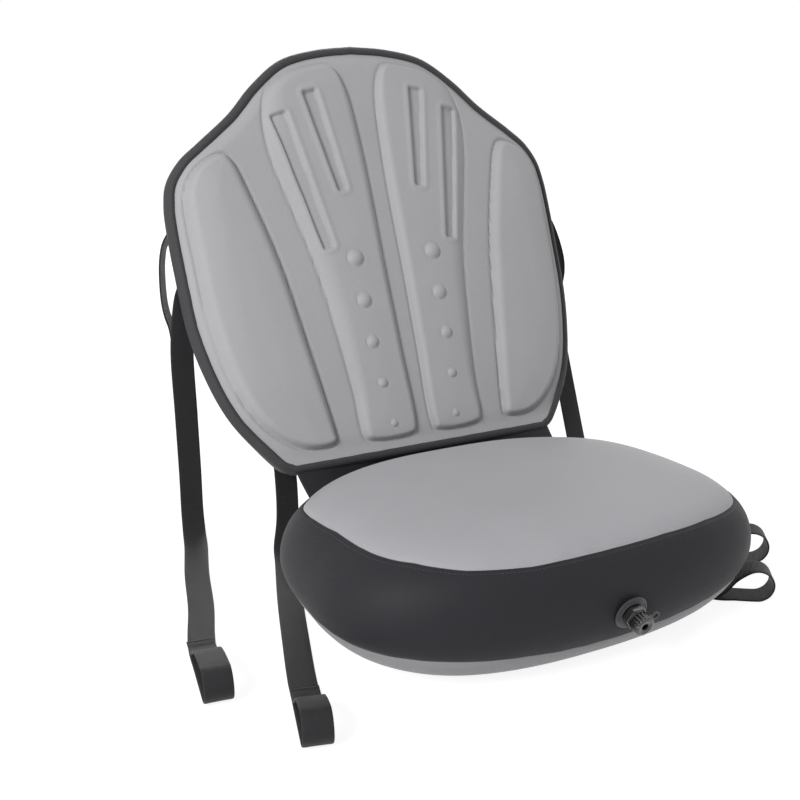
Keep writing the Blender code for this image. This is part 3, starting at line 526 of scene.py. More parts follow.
def net(name, colour):
    """Open net cloth: staggered round holes cut by alpha on the UV map."""
    mat, make, sockets = surface(name, 0.6, Specular_IOR_Level=0.3)
    place = make.add("ShaderNodeTexCoord").outputs["UV"]
    parts = make.add("ShaderNodeSeparateXYZ", {"Vector": place}).outputs
    pitch = 0.0030
    along = make.math("MULTIPLY", parts["Y"], 2 * math.pi / pitch)
    across = make.math("MULTIPLY", parts["X"], 2 * math.pi / pitch)
    holes = make.math("ADD", make.math("COSINE", along), make.math("COSINE", across))
    solid = make.math("LESS_THAN", make.math("ABSOLUTE", holes), 0.85)
    fray = place_group(make, "Mottle", Vector=place, Size=0.01, Amount=0.15)
    make.feed(sockets["Base Color"], tinted(make, colour, fray["Tone"]))
    make.feed(sockets["Alpha"], solid)
    make.feed(sockets["Normal"], bump(make, make.math("ABSOLUTE", holes), 0.0003))
    return mat


def moulded(name, colour, roughness, coat):
    """Moulded plastic or rubber with a fine grain and light handling marks."""
    mat, make, sockets = surface(name, roughness, Coat_Weight=coat, Coat_Roughness=0.12)
    place = make.add("ShaderNodeTexCoord").outputs["Object"]
    grain = place_group(make, "Mottle", Vector=place, Size=0.0007, Amount=0.06)
    marks = place_group(make, "Mottle", Vector=place, Size=0.009, Amount=0.12)
    make.feed(sockets["Base Color"], tinted(make, colour, grain["Tone"], marks["Tone"]))
    make.feed(sockets["Roughness"], make.math("MULTIPLY_ADD", marks["Mask"], 0.2, roughness - 0.08))
    make.feed(sockets["Normal"], bump(make, grain["Mask"], 0.00004))
    return mat


def thread(name, colour):
    mat, make, sockets = surface(name, 0.55, Sheen_Weight=0.2, Sheen_Roughness=0.4)
    place = make.add("ShaderNodeTexCoord").outputs["Object"]
    twist = place_group(make, "Mottle", Vector=place, Size=0.0012, Amount=0.25)
    make.feed(sockets["Base Color"], tinted(make, colour, twist["Tone"]))
    make.feed(sockets["Normal"], bump(make, twist["Mask"], 0.0001))
    return mat


def material(name):
    """One of the seat's materials, made on first use."""
    if name in bpy.data.materials:
        return bpy.data.materials[name]
    if "Mottle" not in bpy.data.node_groups:
        build_groups()
    return MATERIALS[name](name, bpy.context.scene.kayak_seat)


# Each material: its maker, its colour from the settings, and the values that the maker names
MATERIALS = {
    "foam_face": lambda n, s: foam(n, s.foam_grey),
    "cushion_top_cloth": lambda n, s: coated_cloth(n, s.cushion_grey, 0.46, 0.0009, 0.00010, 0.05, 0.08),
    # The base's cloth is the top's cloth made darker: painted shade on the underside, below the band's bulge
    "cushion_base_cloth": lambda n, s: coated_cloth(n, s.shaded_base_grey, 0.5, 0.0009, 0.00010, 0.05, 0.08),
    "band_cloth": lambda n, s: coated_cloth(n, s.band_dark, 0.58, 0.0012, 0.00016, 0.10, 0.03),
    "flap_cloth": lambda n, s: coated_cloth(n, s.band_dark, 0.6, 0.0012, 0.00018, 0.14, 0.03),
    "rear_cloth": lambda n, s: coated_cloth(n, s.foam_grey, 0.6, 0.0012, 0.00018, 0.06, 0.12),
    "strap_webbing": lambda n, s: tape(n, s.webbing_dark, 0.0015, WEB_WIDTH, 0.5, 0.0003),
    "tab_webbing": lambda n, s: tape(n, s.trim_black, 0.0015, WEB_WIDTH, 0.55, 0.0003),
    "edge_tape": lambda n, s: tape(n, s.binding_grey, 0.0012, 0.03, 0.55, 0.00020),
    "pocket_tape": lambda n, s: tape(n, s.trim_black, 0.0011, 0.05, 0.6, 0.00018),
    "pocket_net": lambda n, s: net(n, s.trim_black),
    "buckle_plastic": lambda n, s: moulded(n, s.trim_black, 0.34, 0.2),
    "valve_plastic": lambda n, s: moulded(n, s.trim_black, 0.2, 0.6),
    "valve_rubber": lambda n, s: moulded(n, s.trim_black, 0.4, 0.2),
    "dark_thread": lambda n, s: thread(n, s.thread_dark),
    "grey_thread": lambda n, s: thread(n, s.thread_grey),
}


# Stitches: pitch, length and thickness of each kind
SEAM_STITCH = (0.0034, 0.0026, 0.0005)
BINDING_STITCH = (0.0040, 0.0030, 0.0006)
POCKET_STITCH = (0.0036, 0.0026, 0.0006)
TAB_STITCH = (0.0024, 0.0019, 0.0005)
BAR_TACK = (0.0014, 0.0022, 0.0008)


def stitch_tree():
    """Geometry Nodes: stitches of a set pitch, length and thickness along curves."""
    if "Stitches" in bpy.data.node_groups:
        return bpy.data.node_groups["Stitches"]
    tree = bpy.data.node_groups.new("Stitches", "GeometryNodeTree")
    tree.is_modifier = True
    sockets = tree.interface
    sockets.new_socket("Geometry", in_out="INPUT", socket_type="NodeSocketGeometry")
    for label, value in (("Pitch", 0.004), ("Length", 0.003), ("Thickness", 0.0006)):
        socket = sockets.new_socket(label, in_out="INPUT", socket_type="NodeSocketFloat")
        socket.default_value = value
        socket.subtype = "DISTANCE"
    sockets.new_socket("Material", in_out="INPUT", socket_type="NodeSocketMaterial")
    sockets.new_socket("Geometry", in_out="OUTPUT", socket_type="NodeSocketGeometry")
    make = Nodes(tree)
    given = make.add("NodeGroupInput").outputs
    out = make.add("NodeGroupOutput").inputs
    spread = make.add("GeometryNodeResampleCurve", {"Curve": given["Geometry"], "Length": given["Pitch"]},
                      mode="LENGTH")
    ball = make.add("GeometryNodeMeshUVSphere", {"Segments": 6, "Rings": 5, "Radius": 0.5})
    tangent = make.add("GeometryNodeInputTangent").outputs[0]
    turn = make.add("FunctionNodeAlignRotationToVector", {"Vector": tangent}, axis="Z")
    size = make.add("ShaderNodeCombineXYZ", {"X": given["Thickness"], "Y": given["Thickness"],
                                             "Z": given["Length"]})
    sewn = make.add("GeometryNodeInstanceOnPoints", {
        "Points": spread.outputs["Curve"], "Instance": ball.outputs["Mesh"],
        "Rotation": turn.outputs["Rotation"], "Scale": size.outputs["Vector"]})
    real = make.add("GeometryNodeRealizeInstances", {"Geometry": sewn.outputs["Instances"]})
    dyed = make.add("GeometryNodeSetMaterial", {"Geometry": real.outputs["Geometry"],
                                                "Material": given["Material"]})
    make.feed(out["Geometry"], dyed.outputs["Geometry"])
    return tree


def sew(name, lines, thread_name, stitch, body):
    """Rows of stitches along polylines, as one plain mesh on one body."""
    curve = bpy.data.curves.new(name + "_path", "CURVE")
    curve.dimensions = "3D"
    for line in lines:
        spline = curve.splines.new("POLY")
        spline.points.add(len(line) - 1)
        for point, (x, y, z) in zip(spline.points, line):
            point.co = (x, y, z, 1.0)
    path = bpy.data.objects.new(name + "_path", curve)
    bpy.context.scene.collection.objects.link(path)
    tree = stitch_tree()
    mod = path.modifiers.new("stitches", "NODES")
    mod.node_group = tree
    values = dict(zip(("Pitch", "Length", "Thickness"), stitch), Material=material(thread_name))
    for item in tree.interface.items_tree:
        if item.item_type == "SOCKET" and item.in_out == "INPUT" and item.name in values:
            mod[item.identifier] = values[item.name]
    bpy.context.view_layer.update()
    depsgraph = bpy.context.evaluated_depsgraph_get()
    mesh = bpy.data.meshes.new_from_object(path.evaluated_get(depsgraph), depsgraph=depsgraph)
    bpy.data.objects.remove(path)
    bpy.data.curves.remove(curve)
    mesh.shade_smooth()
    obj = bpy.data.objects.new(name, mesh)
    bpy.context.scene.collection.objects.link(obj)
    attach(obj, body)


# Cushion
def plan_radius(angle):
    """Reach of the plan outline from the middle of the widest line."""
    c, s = np.cos(angle), np.sin(angle)
    depth = np.where(s < 0, FRONT_REACH, REAR_REACH)
    return (np.abs(c / HALF_WIDTH) ** PLAN_POWER + np.abs(s / depth) ** PLAN_POWER) ** (-1 / PLAN_POWER)


def cover_points(angle, share, upper):
    """Points of the inflated shape at a share of the plan outline, on its upper or lower side."""
    radius = plan_radius(angle) * share
    x = radius * np.cos(angle)
    y = WIDEST_Y + radius * np.sin(angle)
    middle = MID_HEIGHT + TOP_RAKE * (WIDEST_Y - y)
    if upper:
        z = middle + (HEIGHT - MID_HEIGHT) * np.sqrt(np.clip(1 - share ** DOME_POWER, 0, 1))
    else:
        sine = np.clip((share - FLAT_SHARE) / (1 - FLAT_SHARE), 0, 1)
        z = middle * (1 - np.sqrt(1 - sine * sine))
    return np.stack([x, y, z], axis=-1)


def top_seam(angle):
    """Share of the plan outline where the top panel is sewn on."""
    turn = np.degrees(angle) % 360
    return np.interp(turn, *zip(*TOP_SEAM), period=360)


def base_turn(angle):
    """How far down the lower side the base panel is sewn on, as a turn from its middle."""
    return np.arccos(1 - (BASE_SEAM + BASE_SEAM_RISE * np.cos(angle) ** 2) / BASE_SEAM_FULL)


def cover_profile(angle):
    """Rows of the whole cover from the top's middle to the base's middle, with the two seam rows."""
    seam = top_seam(angle)
    spread = np.linspace(0.0, 1.0, TOP_ROWS)[1:] ** 0.8
    rows = [cover_points(angle, (seam - SEAM_SHARE) * k, True) for k in spread]
    top_rows = len(rows)
    edge = np.arccos(np.sqrt(1 - (seam + SEAM_SHARE) ** DOME_POWER))
    for k in np.linspace(0.0, 1.0, UPPER_ROWS):
        turn = edge + (math.pi / 2 - edge) * k
        rows.append(cover_points(angle, np.sin(turn) ** (2 / DOME_POWER), True))
    low = base_turn(angle)
    for k in np.linspace(0.0, 1.0, LOWER_ROWS)[1:]:
        turn = math.pi / 2 + (low + SEAM_TURN - math.pi / 2) * k
        rows.append(cover_points(angle, FLAT_SHARE + (1 - FLAT_SHARE) * np.sin(turn), False))
    base_row = len(rows)
    for k in np.linspace(0.0, 1.0, BASE_ROWS):
        turn = (low - SEAM_TURN) * (1 - k)
        rows.append(cover_points(angle, FLAT_SHARE + (1 - FLAT_SHARE) * np.sin(turn), False))
    for k in (0.8, 0.6, 0.4, 0.2, 0.05):
        rows.append(cover_points(angle, FLAT_SHARE * k, False))
    return np.array(rows), top_rows, base_row


def row_normals(rows):
    """Outward normals of a grid of rows round the cushion."""
    around = np.roll(rows, -1, axis=1) - np.roll(rows, 1, axis=1)
    down = np.gradient(rows, axis=0)
    normal = np.cross(down, around)
    length = np.linalg.norm(normal, axis=2, keepdims=True)
    return normal / np.maximum(length, 1e-12)


def cover_rows():
    """The cover's rows with seam pull, puckers and faint unevenness worked in."""
    settings = bpy.context.scene.kayak_seat
    angle = 2 * math.pi * (np.arange(COLUMNS) + 0.5) / COLUMNS
    rows, top_row, base_row = cover_profile(angle)
    normals = row_normals(rows)
    steps = np.linalg.norm(np.diff(rows, axis=0), axis=2)
    down = np.concatenate([np.zeros((1, COLUMNS)), np.cumsum(steps, axis=0)])
    moved = np.zeros(rows.shape[:2])
    wave = noise_ring(angle, 30.0, 3.1)
    for seam in (top_row, base_row):
        reach = np.abs(down - (down[seam - 1] + down[seam]) / 2)
        moved -= settings.seam_pull * np.exp(-((reach / SHARP_FOLD) ** 2))
        moved -= 0.7 * settings.seam_pull * np.exp(-((reach / SOFT_FOLD) ** 2))
        moved += PUCKER * wave * np.exp(-reach / PUCKER_REACH)
    lifted = rows[..., 2] > LIFTED
    uneven = soft_noise(rows.reshape(-1, 3), 0.075, 4.2).reshape(moved.shape)
    moved += np.where(lifted, UNEVEN * uneven, 0.0)
    outer = rows + normals * np.where(lifted, moved, 0.0)[..., None]
    outer[..., 2] = np.maximum(outer[..., 2], 0.0)
    inner = outer - normals * COVER
    return outer, inner, top_row, base_row


def noise_ring(angle, waves, seed):
    """Noise from -1 to 1 round the cushion, about so many waves in a turn."""
    points = [(waves * math.cos(a) / 3, waves * math.sin(a) / 3, seed) for a in angle]
    return soft_noise(points, 1.0)


def capped_cover(name, outer, inner, material_name, closed):
    """A cover panel with its inner wall. An open one ends at a pole in the middle."""
    rows = np.concatenate([outer, inner[::-1]])
    count = len(rows)
    verts = rows.reshape(-1, 3)
    faces = grid_quads(count, COLUMNS, wrap_rows=closed, wrap_columns=True)
    if not closed:
        verts = np.vstack([verts, rows[0].mean(axis=0), rows[-1].mean(axis=0)])
        pole = count * COLUMNS
        end = (count - 1) * COLUMNS
        for j in range(COLUMNS):
            k = (j + 1) % COLUMNS
            faces.append((pole, k, j))
            faces.append((pole + 1, end + j, end + k))
    return finish_mesh(name, verts, faces, material(material_name), uvs=verts[:, :2], sharp=60)


def build_cushion():
    """Top, band and base of the cover, sewn at two seams."""
    outer, inner, top_row, base_row = cover_rows()
    top = capped_cover("cushion_top", outer[:top_row], inner[:top_row], "cushion_top_cloth", False)
    band = capped_cover("cushion_band", outer[top_row:base_row], inner[top_row:base_row], "band_cloth", True)
    # The base panel gets the darker grey: painted shade where it turns under towards the floor
    base = capped_cover("cushion_base", outer[base_row:][::-1], inner[base_row:][::-1],
                        "cushion_base_cloth", False)
    for piece, node, slot in ((top, "cushion_top_panel", "light_grey_fabric"),
                              (band, "cushion_side_band", "dark_fabric"),
                              (base, "cushion_base_panel", "light_grey_fabric")):
        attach(piece, "cushion")
        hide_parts(node)
    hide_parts("air_bladder")
    welds = [outer[row] for row in (top_row + 1, base_row - 2)]
    welds = [np.vstack([ring, ring[:1]]) for ring in welds]
    sew("cushion_seam_stitches", welds, "dark_thread", SEAM_STITCH, "cushion")


# Backrest
def bow(x):
    return BOW * x * x + CURL * np.maximum(0.0, np.abs(x) - CURL_START) ** 2


def to_world(points):
    """Points of the backrest's own frame in the world."""
    turn = np.array(BACK)
    return np.asarray(points) @ turn[:3, :3].T + turn[:3, 3]


def low_share(z):
    """1 at the lower edge of the panel, 0 above its corners."""
    return 1 - ease(z / 0.03)


def edge_bends(z):
    """How far the edge bends back on the front and forward on the rear."""
    share = ease((z + 0.01) / 0.06)
    return EDGE_BEND * share, REAR_BEND * share


def half_outline(inset):
    """Right half of the backrest's edge, moved inwards, from the top centre to the bottom corner."""
    points = smooth_curve(BACK_OUTLINE, 24, power=0.0)
    run = np.gradient(points, axis=0)
    run /= np.linalg.norm(run, axis=1, keepdims=True)
    moved = points + inset * np.stack([run[:, 1], -run[:, 0]], axis=1)
    moved[:, 1] -= PANEL_DROP * low_share(points[:, 1]) * np.clip(-run[:, 0], 0, 1) ** 2
    moved[:, 0] = np.maximum(moved[:, 0], 0.0)
    moved = moved[moved[:, 1] > -0.0015]
    return np.vstack([moved, (moved[-1, 0] - 0.0008, -0.0030)])


def column_places(width, height, columns):
    """x of each column in each row. Columns run along the slots, and spread evenly elsewhere."""
    scale = np.minimum(1.0, width / 0.135)
    z = np.minimum(height, 0.378)
    inner = np.interp(z, (0.0, 0.279, 0.3775), (0.033, 0.0455, 0.0610)) * scale
    outer = np.interp(z, (0.0, 0.220, 0.3545, 0.378), (0.0588, 0.0720, 0.0980, 0.1025)) * scale
    band = 0.0120 * scale
    knots = np.stack([0 * width, inner - band, inner + band, outer - band, outer + band, width], axis=1)
    share = np.array((0.0, 0.22, 0.37, 0.44, 0.59, 1.0))
    wanted = np.linspace(0, 1, columns // 2 + 1)
    half = np.array([np.interp(wanted, share, row) for row in knots])
    return np.concatenate([-half[:, :0:-1], half], axis=1)


def edge_loop(count):
    """Even points round the whole edge, clockwise from the top centre, with inward directions."""
    half = smooth_curve(BACK_OUTLINE, 24, power=0.0)
    loop = np.vstack([half, half[::-1] * (-1, 1)])
    points = even_points(loop, count + 1)[:-1]
    run = np.roll(points, -2, axis=0) - np.roll(points, 2, axis=0)
    run /= np.linalg.norm(run, axis=1, keepdims=True)
    return points, np.stack([run[:, 1], -run[:, 0]], axis=1)


def outline_distance(x, z, loop, values=None):
    """Distance to a closed outline, positive inside, and the outline's value at the nearest spot."""
    nearest = np.full(x.shape, 1e9)
    value = np.zeros(x.shape)
    inside = np.zeros(x.shape, bool)
    count = len(loop)
    for i in range(count):
        (ax, az), (bx, bz) = loop[i], loop[(i + 1) % count]
        ex, ez = bx - ax, bz - az
        t = np.clip(((x - ax) * ex + (z - az) * ez) / (ex * ex + ez * ez), 0, 1)
        gap = (x - ax - t * ex) ** 2 + (z - az - t * ez) ** 2
        closer = gap < nearest
        nearest = np.where(closer, gap, nearest)
        if values is not None:
            value = np.where(closer, values[i] + (values[(i + 1) % count] - values[i]) * t, value)
        crossed = (az > z) != (bz > z)
        side = ax + (z - az) * ex / (ez if abs(ez) > 1e-12 else 1e-12)
        inside ^= crossed & (x < side)
    return np.where(inside, 1, -1) * np.sqrt(nearest), value


def edge_distance(x, z):
    """Distance inwards from the backrest's edge."""
    loop, _ = edge_loop(EDGE_SAMPLES)
    return outline_distance(np.abs(x), z, loop)[0]


def pad_relief(x, z, table, rise, crown, groove):
    """A raised pad: steep at its foot, round at its shoulder and a little crowned."""
    loop = smooth_curve(table, 5, closed=True)
    depth, shoulder = outline_distance(x, z, loop[:, :2], loop[:, 2])
    share = np.clip(depth / np.maximum(shoulder, 1e-4), 0, 1)
    height = rise * (1 - (1 - share) ** 2.3)
    height += crown * ease(depth / 0.035)
    crease = np.exp(-((depth + 0.0012) / 0.0016) ** 2)
    return height - groove * crease


def slot_relief(x, z, ends):
    """Long pressed slot with rounded ends, a little wider at its top, with a soft raised lip."""
    high, low = np.array(ends[0]), np.array(ends[1])
    middle = (high[:2] + low[:2]) / 2
    run = high[:2] - low[:2]
    length = np.linalg.norm(run)
    along = run / length
    corner, wall, lip_width, lip_height = 0.0035, 0.0026, 0.0026, 0.0009
    v = (x - middle[0]) * along[0] + (z - middle[1]) * along[1]
    half_width = low[2] + (high[2] - low[2]) * np.clip(v / length + 0.5, 0, 1)
    u = np.abs((x - middle[0]) * along[1] - (z - middle[1]) * along[0]) - (half_width - corner)
    v = np.abs(v) - (length / 2 + low[2] - corner)
    outside = np.hypot(np.maximum(u, 0), np.maximum(v, 0)) + np.minimum(np.maximum(u, v), 0) - corner
    sunk = ease(-outside / wall)
    lip = np.exp(-((outside - 0.0022) / lip_width) ** 2)
    return -bpy.context.scene.kayak_seat.slot_depth * sunk + lip_height * lip


def front_relief(x, z):
    """How far the moulded front stands out towards the sitter."""
    settings = bpy.context.scene.kayak_seat
    side = np.abs(x)
    height = pad_relief(side, z, SIDE_PAD, settings.pad_rise, 0.0016, 0.0020)
    height = height + pad_relief(side, z, RIB_PAD, settings.pad_rise * 0.9, 0.0010, 0.0011)
    for ends in SLOTS:
        height = height + slot_relief(side, z, ends)
    for place_x, place_z, radius in DIMPLES:
        reach = np.hypot(side - place_x, z - place_z) / radius
        height = height + 0.50 * radius * np.clip(1 - reach ** 2, 0, 1) ** 0.8
        height = height - 0.0005 * np.exp(-((reach - 1.08) / 0.14) ** 2)
    edge = edge_distance(x, z)
    height = height - 0.0012 * (1 - ease((edge - 0.006) / 0.008)) * (1 - low_share(z))
    return height - edge_bends(z)[0] * (1 - ease((edge - 0.004) / 0.018))


def panel_shell(name, rows, columns, back_columns, front, rear, material_name):
    """Closed panel in the backrest's frame. front and rear give y from x and z."""
    half = half_outline(PANEL_INSET)
    lengths = arc_lengths(half)
    wanted = np.linspace(lengths[-1] * 0.006, lengths[-1], rows)
    width = np.interp(wanted, lengths, half[:, 0])
    height = np.interp(wanted, lengths, half[:, 1])
    walls = []
    plain = width[:, None] * np.linspace(-1, 1, back_columns + 1)[None, :]
    for x, depth in ((column_places(width, height, columns), front), (plain, rear)):
        z = np.repeat(height[:, None], x.shape[1], axis=1)
        walls.append(np.stack([x, depth(x, z), z], axis=-1).reshape(-1, 3))
    local = np.vstack(walls)
    wide, narrow = columns + 1, back_columns + 1
    start = rows * wide
    faces = grid_quads(rows, wide)
    faces += [tuple(reversed(q)) for q in grid_quads(rows, narrow, start)]
    for i in range(rows - 1):
        a, b = i * wide, (i + 1) * wide
        c, d = start + i * narrow, start + (i + 1) * narrow
        faces.append((a, b, d, c))
        faces.append((a + columns, c + back_columns, d + back_columns, b + columns))
    step = columns // back_columns
    for row, turned in ((0, False), (rows - 1, True)):
        for j in range(back_columns):
            edge = [row * wide + j * step + k for k in range(step + 1)]
            face = edge + [start + row * narrow + j + 1, start + row * narrow + j]
            faces.append(tuple(reversed(face)) if turned else tuple(face))
    return finish_mesh(name, to_world(local), faces, material(material_name),
                       uvs=local[:, (0, 2)], sharp=50)


def build_front():
    """Moulded front of the backrest with its pads, slots and domes."""
    def face(x, z):
        return bow(x) - front_relief(x, z)

    def behind(x, z):
        return bow(x) + FRONT_SHEET

    piece = panel_shell("backrest_front", 310, 288, 24, face, behind, "foam_face")
    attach(piece, "backrest")
    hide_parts("backrest_front_panel", "stiffener_board")


def build_rear():
    """Plain padded rear skin of the backrest."""
    def face(x, z):
        edge = edge_distance(x, z)
        ripple = soft_noise(np.stack([x, x * 0, z], -1).reshape(-1, 3), 0.05, 9.0).reshape(x.shape)
        bend = edge_bends(z)[1] * (1 - ease((edge - 0.004) / 0.020))
        return BACK_DEPTH + bow(x) - bend - 0.0008 * (1 - ease(edge / 0.02)) + 0.0003 * ripple

    def behind(x, z):
        return bow(x) + FRONT_SHEET + GAP

    piece = panel_shell("backrest_rear", 150, 120, 24, face, behind, "rear_cloth")
    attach(piece, "backrest")
    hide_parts("backrest_rear_panel")


def binding_point(points, inward, inset, y):
    """Points at an inset from the edge and a depth y, on the bowed panel, in the world."""
    flat = points + inward * np.broadcast_to(inset, len(points))[:, None]
    flat[:, 1] -= BINDING_DROP * low_share(points[:, 1]) * np.clip(inward[:, 1], 0, 1) ** 2
    front, rear = edge_bends(points[:, 1])
    share = np.clip(y / BACK_DEPTH, 0, 1)
    depth = y + front * (1 - share) - rear * share
    return to_world(np.stack([flat[:, 0], bow(flat[:, 0]) + depth, flat[:, 1]], axis=1))


def edge_noise(points, scale, seed):
    """Smooth noise from -1 to 1 along the edge."""
    return np.array([noise.noise(Vector((x / scale, z / scale, seed))) for x, z in points])


def build_binding():
    """Folded tape sewn round the whole edge."""
    count = BINDING_SAMPLES
    points, inward = edge_loop(count)
    lip = bpy.context.scene.kayak_seat.binding_lip
    depth = BACK_DEPTH
    profile = (
        (lip, 0.0006), (lip + 0.0002, -0.0006), (lip - 0.0008, -0.0016), (lip * 0.62, -0.0022),
        (lip * 0.30, -0.0016), (0.0006, 0.0006), (-0.0006, 0.0040), (-0.0008, depth / 2),
        (-0.0006, depth - 0.0040), (0.0006, depth - 0.0004), (lip * 0.30, depth + 0.0016),
        (lip * 0.62, depth + 0.0020), (lip - 0.0008, depth + 0.0014), (lip, depth + 0.0004),
        (lip - 0.0002, depth - 0.0010), (lip * 0.5, depth - 0.0016), (lip * 0.4, depth / 2),
        (lip * 0.5, 0.0016),
    )
    wander = 0.0004 * edge_noise(points, 0.016, 2.0)
    swell = 0.00015 * edge_noise(points, 0.009, 7.0)
    rings = []
    across = 0.0
    marks = []
    for k, (inset, y) in enumerate(profile):
        shift = wander if abs(inset - lip) < 0.0012 else 0.0 * wander
        bulge = swell * (-1 if y < depth / 2 else 1)
        rings.append(binding_point(points, inward, inset + shift, y + bulge))
        if k:
            across += math.hypot(inset - profile[k - 1][0], y - profile[k - 1][1])
        marks.append(across)
    rows = np.stack(rings, axis=1)
    sides = len(profile)
    around = arc_lengths(np.vstack([points, points[:1]]))[:-1]
    uvs = np.stack([np.tile(np.array(marks) - across / 2, count), np.repeat(around, sides)], axis=1)
    faces = grid_quads(count, sides, wrap_rows=True, wrap_columns=True)
    piece = finish_mesh("edge_binding_tape", rows.reshape(-1, 3), faces, material("edge_tape"), uvs=uvs)
    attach(piece, "backrest")
    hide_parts("edge_binding")
    inset = np.full(count, lip * 0.72)
    front = binding_point(points, inward, inset, -0.0022)
    rear = binding_point(points, inward, inset, depth + 0.0020)
    sew("binding_stitches", [front, rear], "dark_thread", BINDING_STITCH, "backrest")


# Pocket
def pocket_half(z):
    share = (z - POCKET_BASE) / (POCKET_TOP - POCKET_BASE)
    return POCKET_BASE_HALF + (POCKET_TOP_HALF - POCKET_BASE_HALF) * share


def strip(name, left, right, lift, sheet, columns, material_name):
    """Flat tape between two lines of (x, z) points, bent with the panel, its edges rounded."""
    left, right = np.asarray(left, float), np.asarray(right, float)
    rows = len(left)
    shares = [0.0] + [i / columns for i in range(columns + 1)] + [1.0]
    round_off = [0.5, 0.12] + [0.0] * (columns - 1) + [0.12, 0.5]
    insets = [0.0, 0.0004] + [0.0] * (columns - 1) + [-0.0004, 0.0]
    span = right - left
    span = span / np.linalg.norm(span, axis=1, keepdims=True)
    upper, lower = [], []
    for share, off, inset in zip(shares, round_off, insets):
        flat = left + (right - left) * share + span * inset
        base = bow(flat[:, 0]) + lift
        upper.append(np.stack([flat[:, 0], base + sheet * (1 - off), flat[:, 1]], axis=1))
        lower.append(np.stack([flat[:, 0], base + sheet * off * 0.2, flat[:, 1]], axis=1))
    ring = upper + lower[::-1][1:-1]
    around = len(ring)
    local = np.stack(ring, axis=1).reshape(-1, 3)
    middle = (left + right) / 2
    centre = np.repeat(middle, around, axis=0)
    u = ((local[:, (0, 2)] - centre) * np.repeat(span, around, axis=0)).sum(axis=1)
    uvs = np.stack([u, np.repeat(arc_lengths(middle), around)], axis=1)
    return finish_mesh(name, to_world(local), tube_faces(rows, around), material(material_name),
                       uvs=uvs, sharp=60)


def line(a, b, count):
    t = np.linspace(0, 1, count)[:, None]
    return np.asarray(a) * (1 - t) + np.asarray(b) * t


def seam_line(a, b, lift, count=40):
    flat = line(a, b, count)
    return to_world(np.stack([flat[:, 0], bow(flat[:, 0]) + lift, flat[:, 1]], axis=1))


def build_pocket():
    """Net pocket on the back with its bound edges, hems and middle band."""
    lift = BACK_DEPTH + GAP
    low_hem = POCKET_LOW_HEM_Z + POCKET_LOW_HEM
    top_hem = POCKET_TOP - POCKET_TOP_HEM
    seams = []
    pieces = {}
    for sign, word in ((-1, "left"), (1, "right")):
        outer_low = (sign * pocket_half(POCKET_BASE), POCKET_BASE)
        outer_top = (sign * pocket_half(POCKET_TOP), POCKET_TOP)
        inner_low = (outer_low[0] - sign * POCKET_SIDE_BAND, POCKET_BASE)
        inner_top = (outer_top[0] - sign * POCKET_SIDE_BAND, POCKET_TOP)
        pieces["pocket_side_" + word] = strip(
            "pocket_side_tape_" + word, line(inner_low, inner_top, 60), line(outer_low, outer_top, 60),
            lift, SIDE_TAPE, 6, "pocket_tape")
        for share in (0.10, 0.90):
            a = np.array(inner_low) + (np.array(outer_low) - inner_low) * share
            b = np.array(inner_top) + (np.array(outer_top) - inner_top) * share
            seams.append(seam_line(a, b, lift + SIDE_TAPE))

    def cross(node, low, high, extra):
        half_low = pocket_half(low) - POCKET_SIDE_BAND + 0.002
        half_high = pocket_half(high) - POCKET_SIDE_BAND + 0.002
        pieces[node] = strip(node + "_tape", line((-half_low, low), (half_low, low), 60),
                             line((-half_high, high), (half_high, high), 60), lift + extra, HEM_TAPE, 4,
                             "pocket_tape")
        for share in (0.16, 0.84):
            level = low + (high - low) * share
            half = pocket_half(level) - POCKET_SIDE_BAND
            seams.append(seam_line((-half, level), (half, level), lift + extra + HEM_TAPE))

    cross("pocket_hem_top", top_hem, POCKET_TOP, 0.0008)
    cross("pocket_hem_bottom", POCKET_LOW_HEM_Z, low_hem, 0.0008)
    cross("pocket_base_band", POCKET_BASE, POCKET_BASE + POCKET_BASE_BAND, 0.0)
    band = POCKET_SIDE_BAND / 2
    pieces["pocket_divider"] = strip(
        "pocket_divider_tape", line((-band, low_hem), (-band, top_hem), 40),
        line((band, low_hem), (band, top_hem), 40), lift + DIVIDER_LIFT, DIVIDER_TAPE, 4, "pocket_tape")
    for x in (-band * 0.8, band * 0.8):
        seams.append(seam_line((x, low_hem), (x, top_hem), lift + 0.0037))
    for node, piece in pieces.items():
        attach(piece, "backrest")
        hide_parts(node)
    build_net(lift, low_hem, top_hem)
    sew("pocket_stitches", seams, "grey_thread", POCKET_STITCH, "backrest")


def build_net(lift, low, high):
    """The net itself, a little slack in each half of the pocket."""
    rows, columns = 50, 60
    z = np.linspace(low - 0.003, high + 0.003, rows)
    share = np.linspace(-1, 1, columns)
    half = pocket_half(z) - POCKET_SIDE_BAND + 0.003
    x = half[:, None] * share[None, :]
    zz = np.repeat(z[:, None], columns, axis=1)
    slack = np.sin(np.pi * np.abs(share))[None, :] * np.sin(np.pi * np.linspace(0, 1, rows))[:, None]
    y = bow(x) + lift + 0.0006 + 0.0030 * slack
    front = np.stack([x, y, zz], -1).reshape(-1, 3)
    back = front + (0, NET_SHEET, 0)
    local = np.vstack([front, back])
    piece = finish_mesh("pocket_net_cloth", to_world(local), sheet_faces(rows, columns),
                        material("pocket_net"), uvs=local[:, (0, 2)])
    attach(piece, "backrest")
    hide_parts("pocket_mesh")


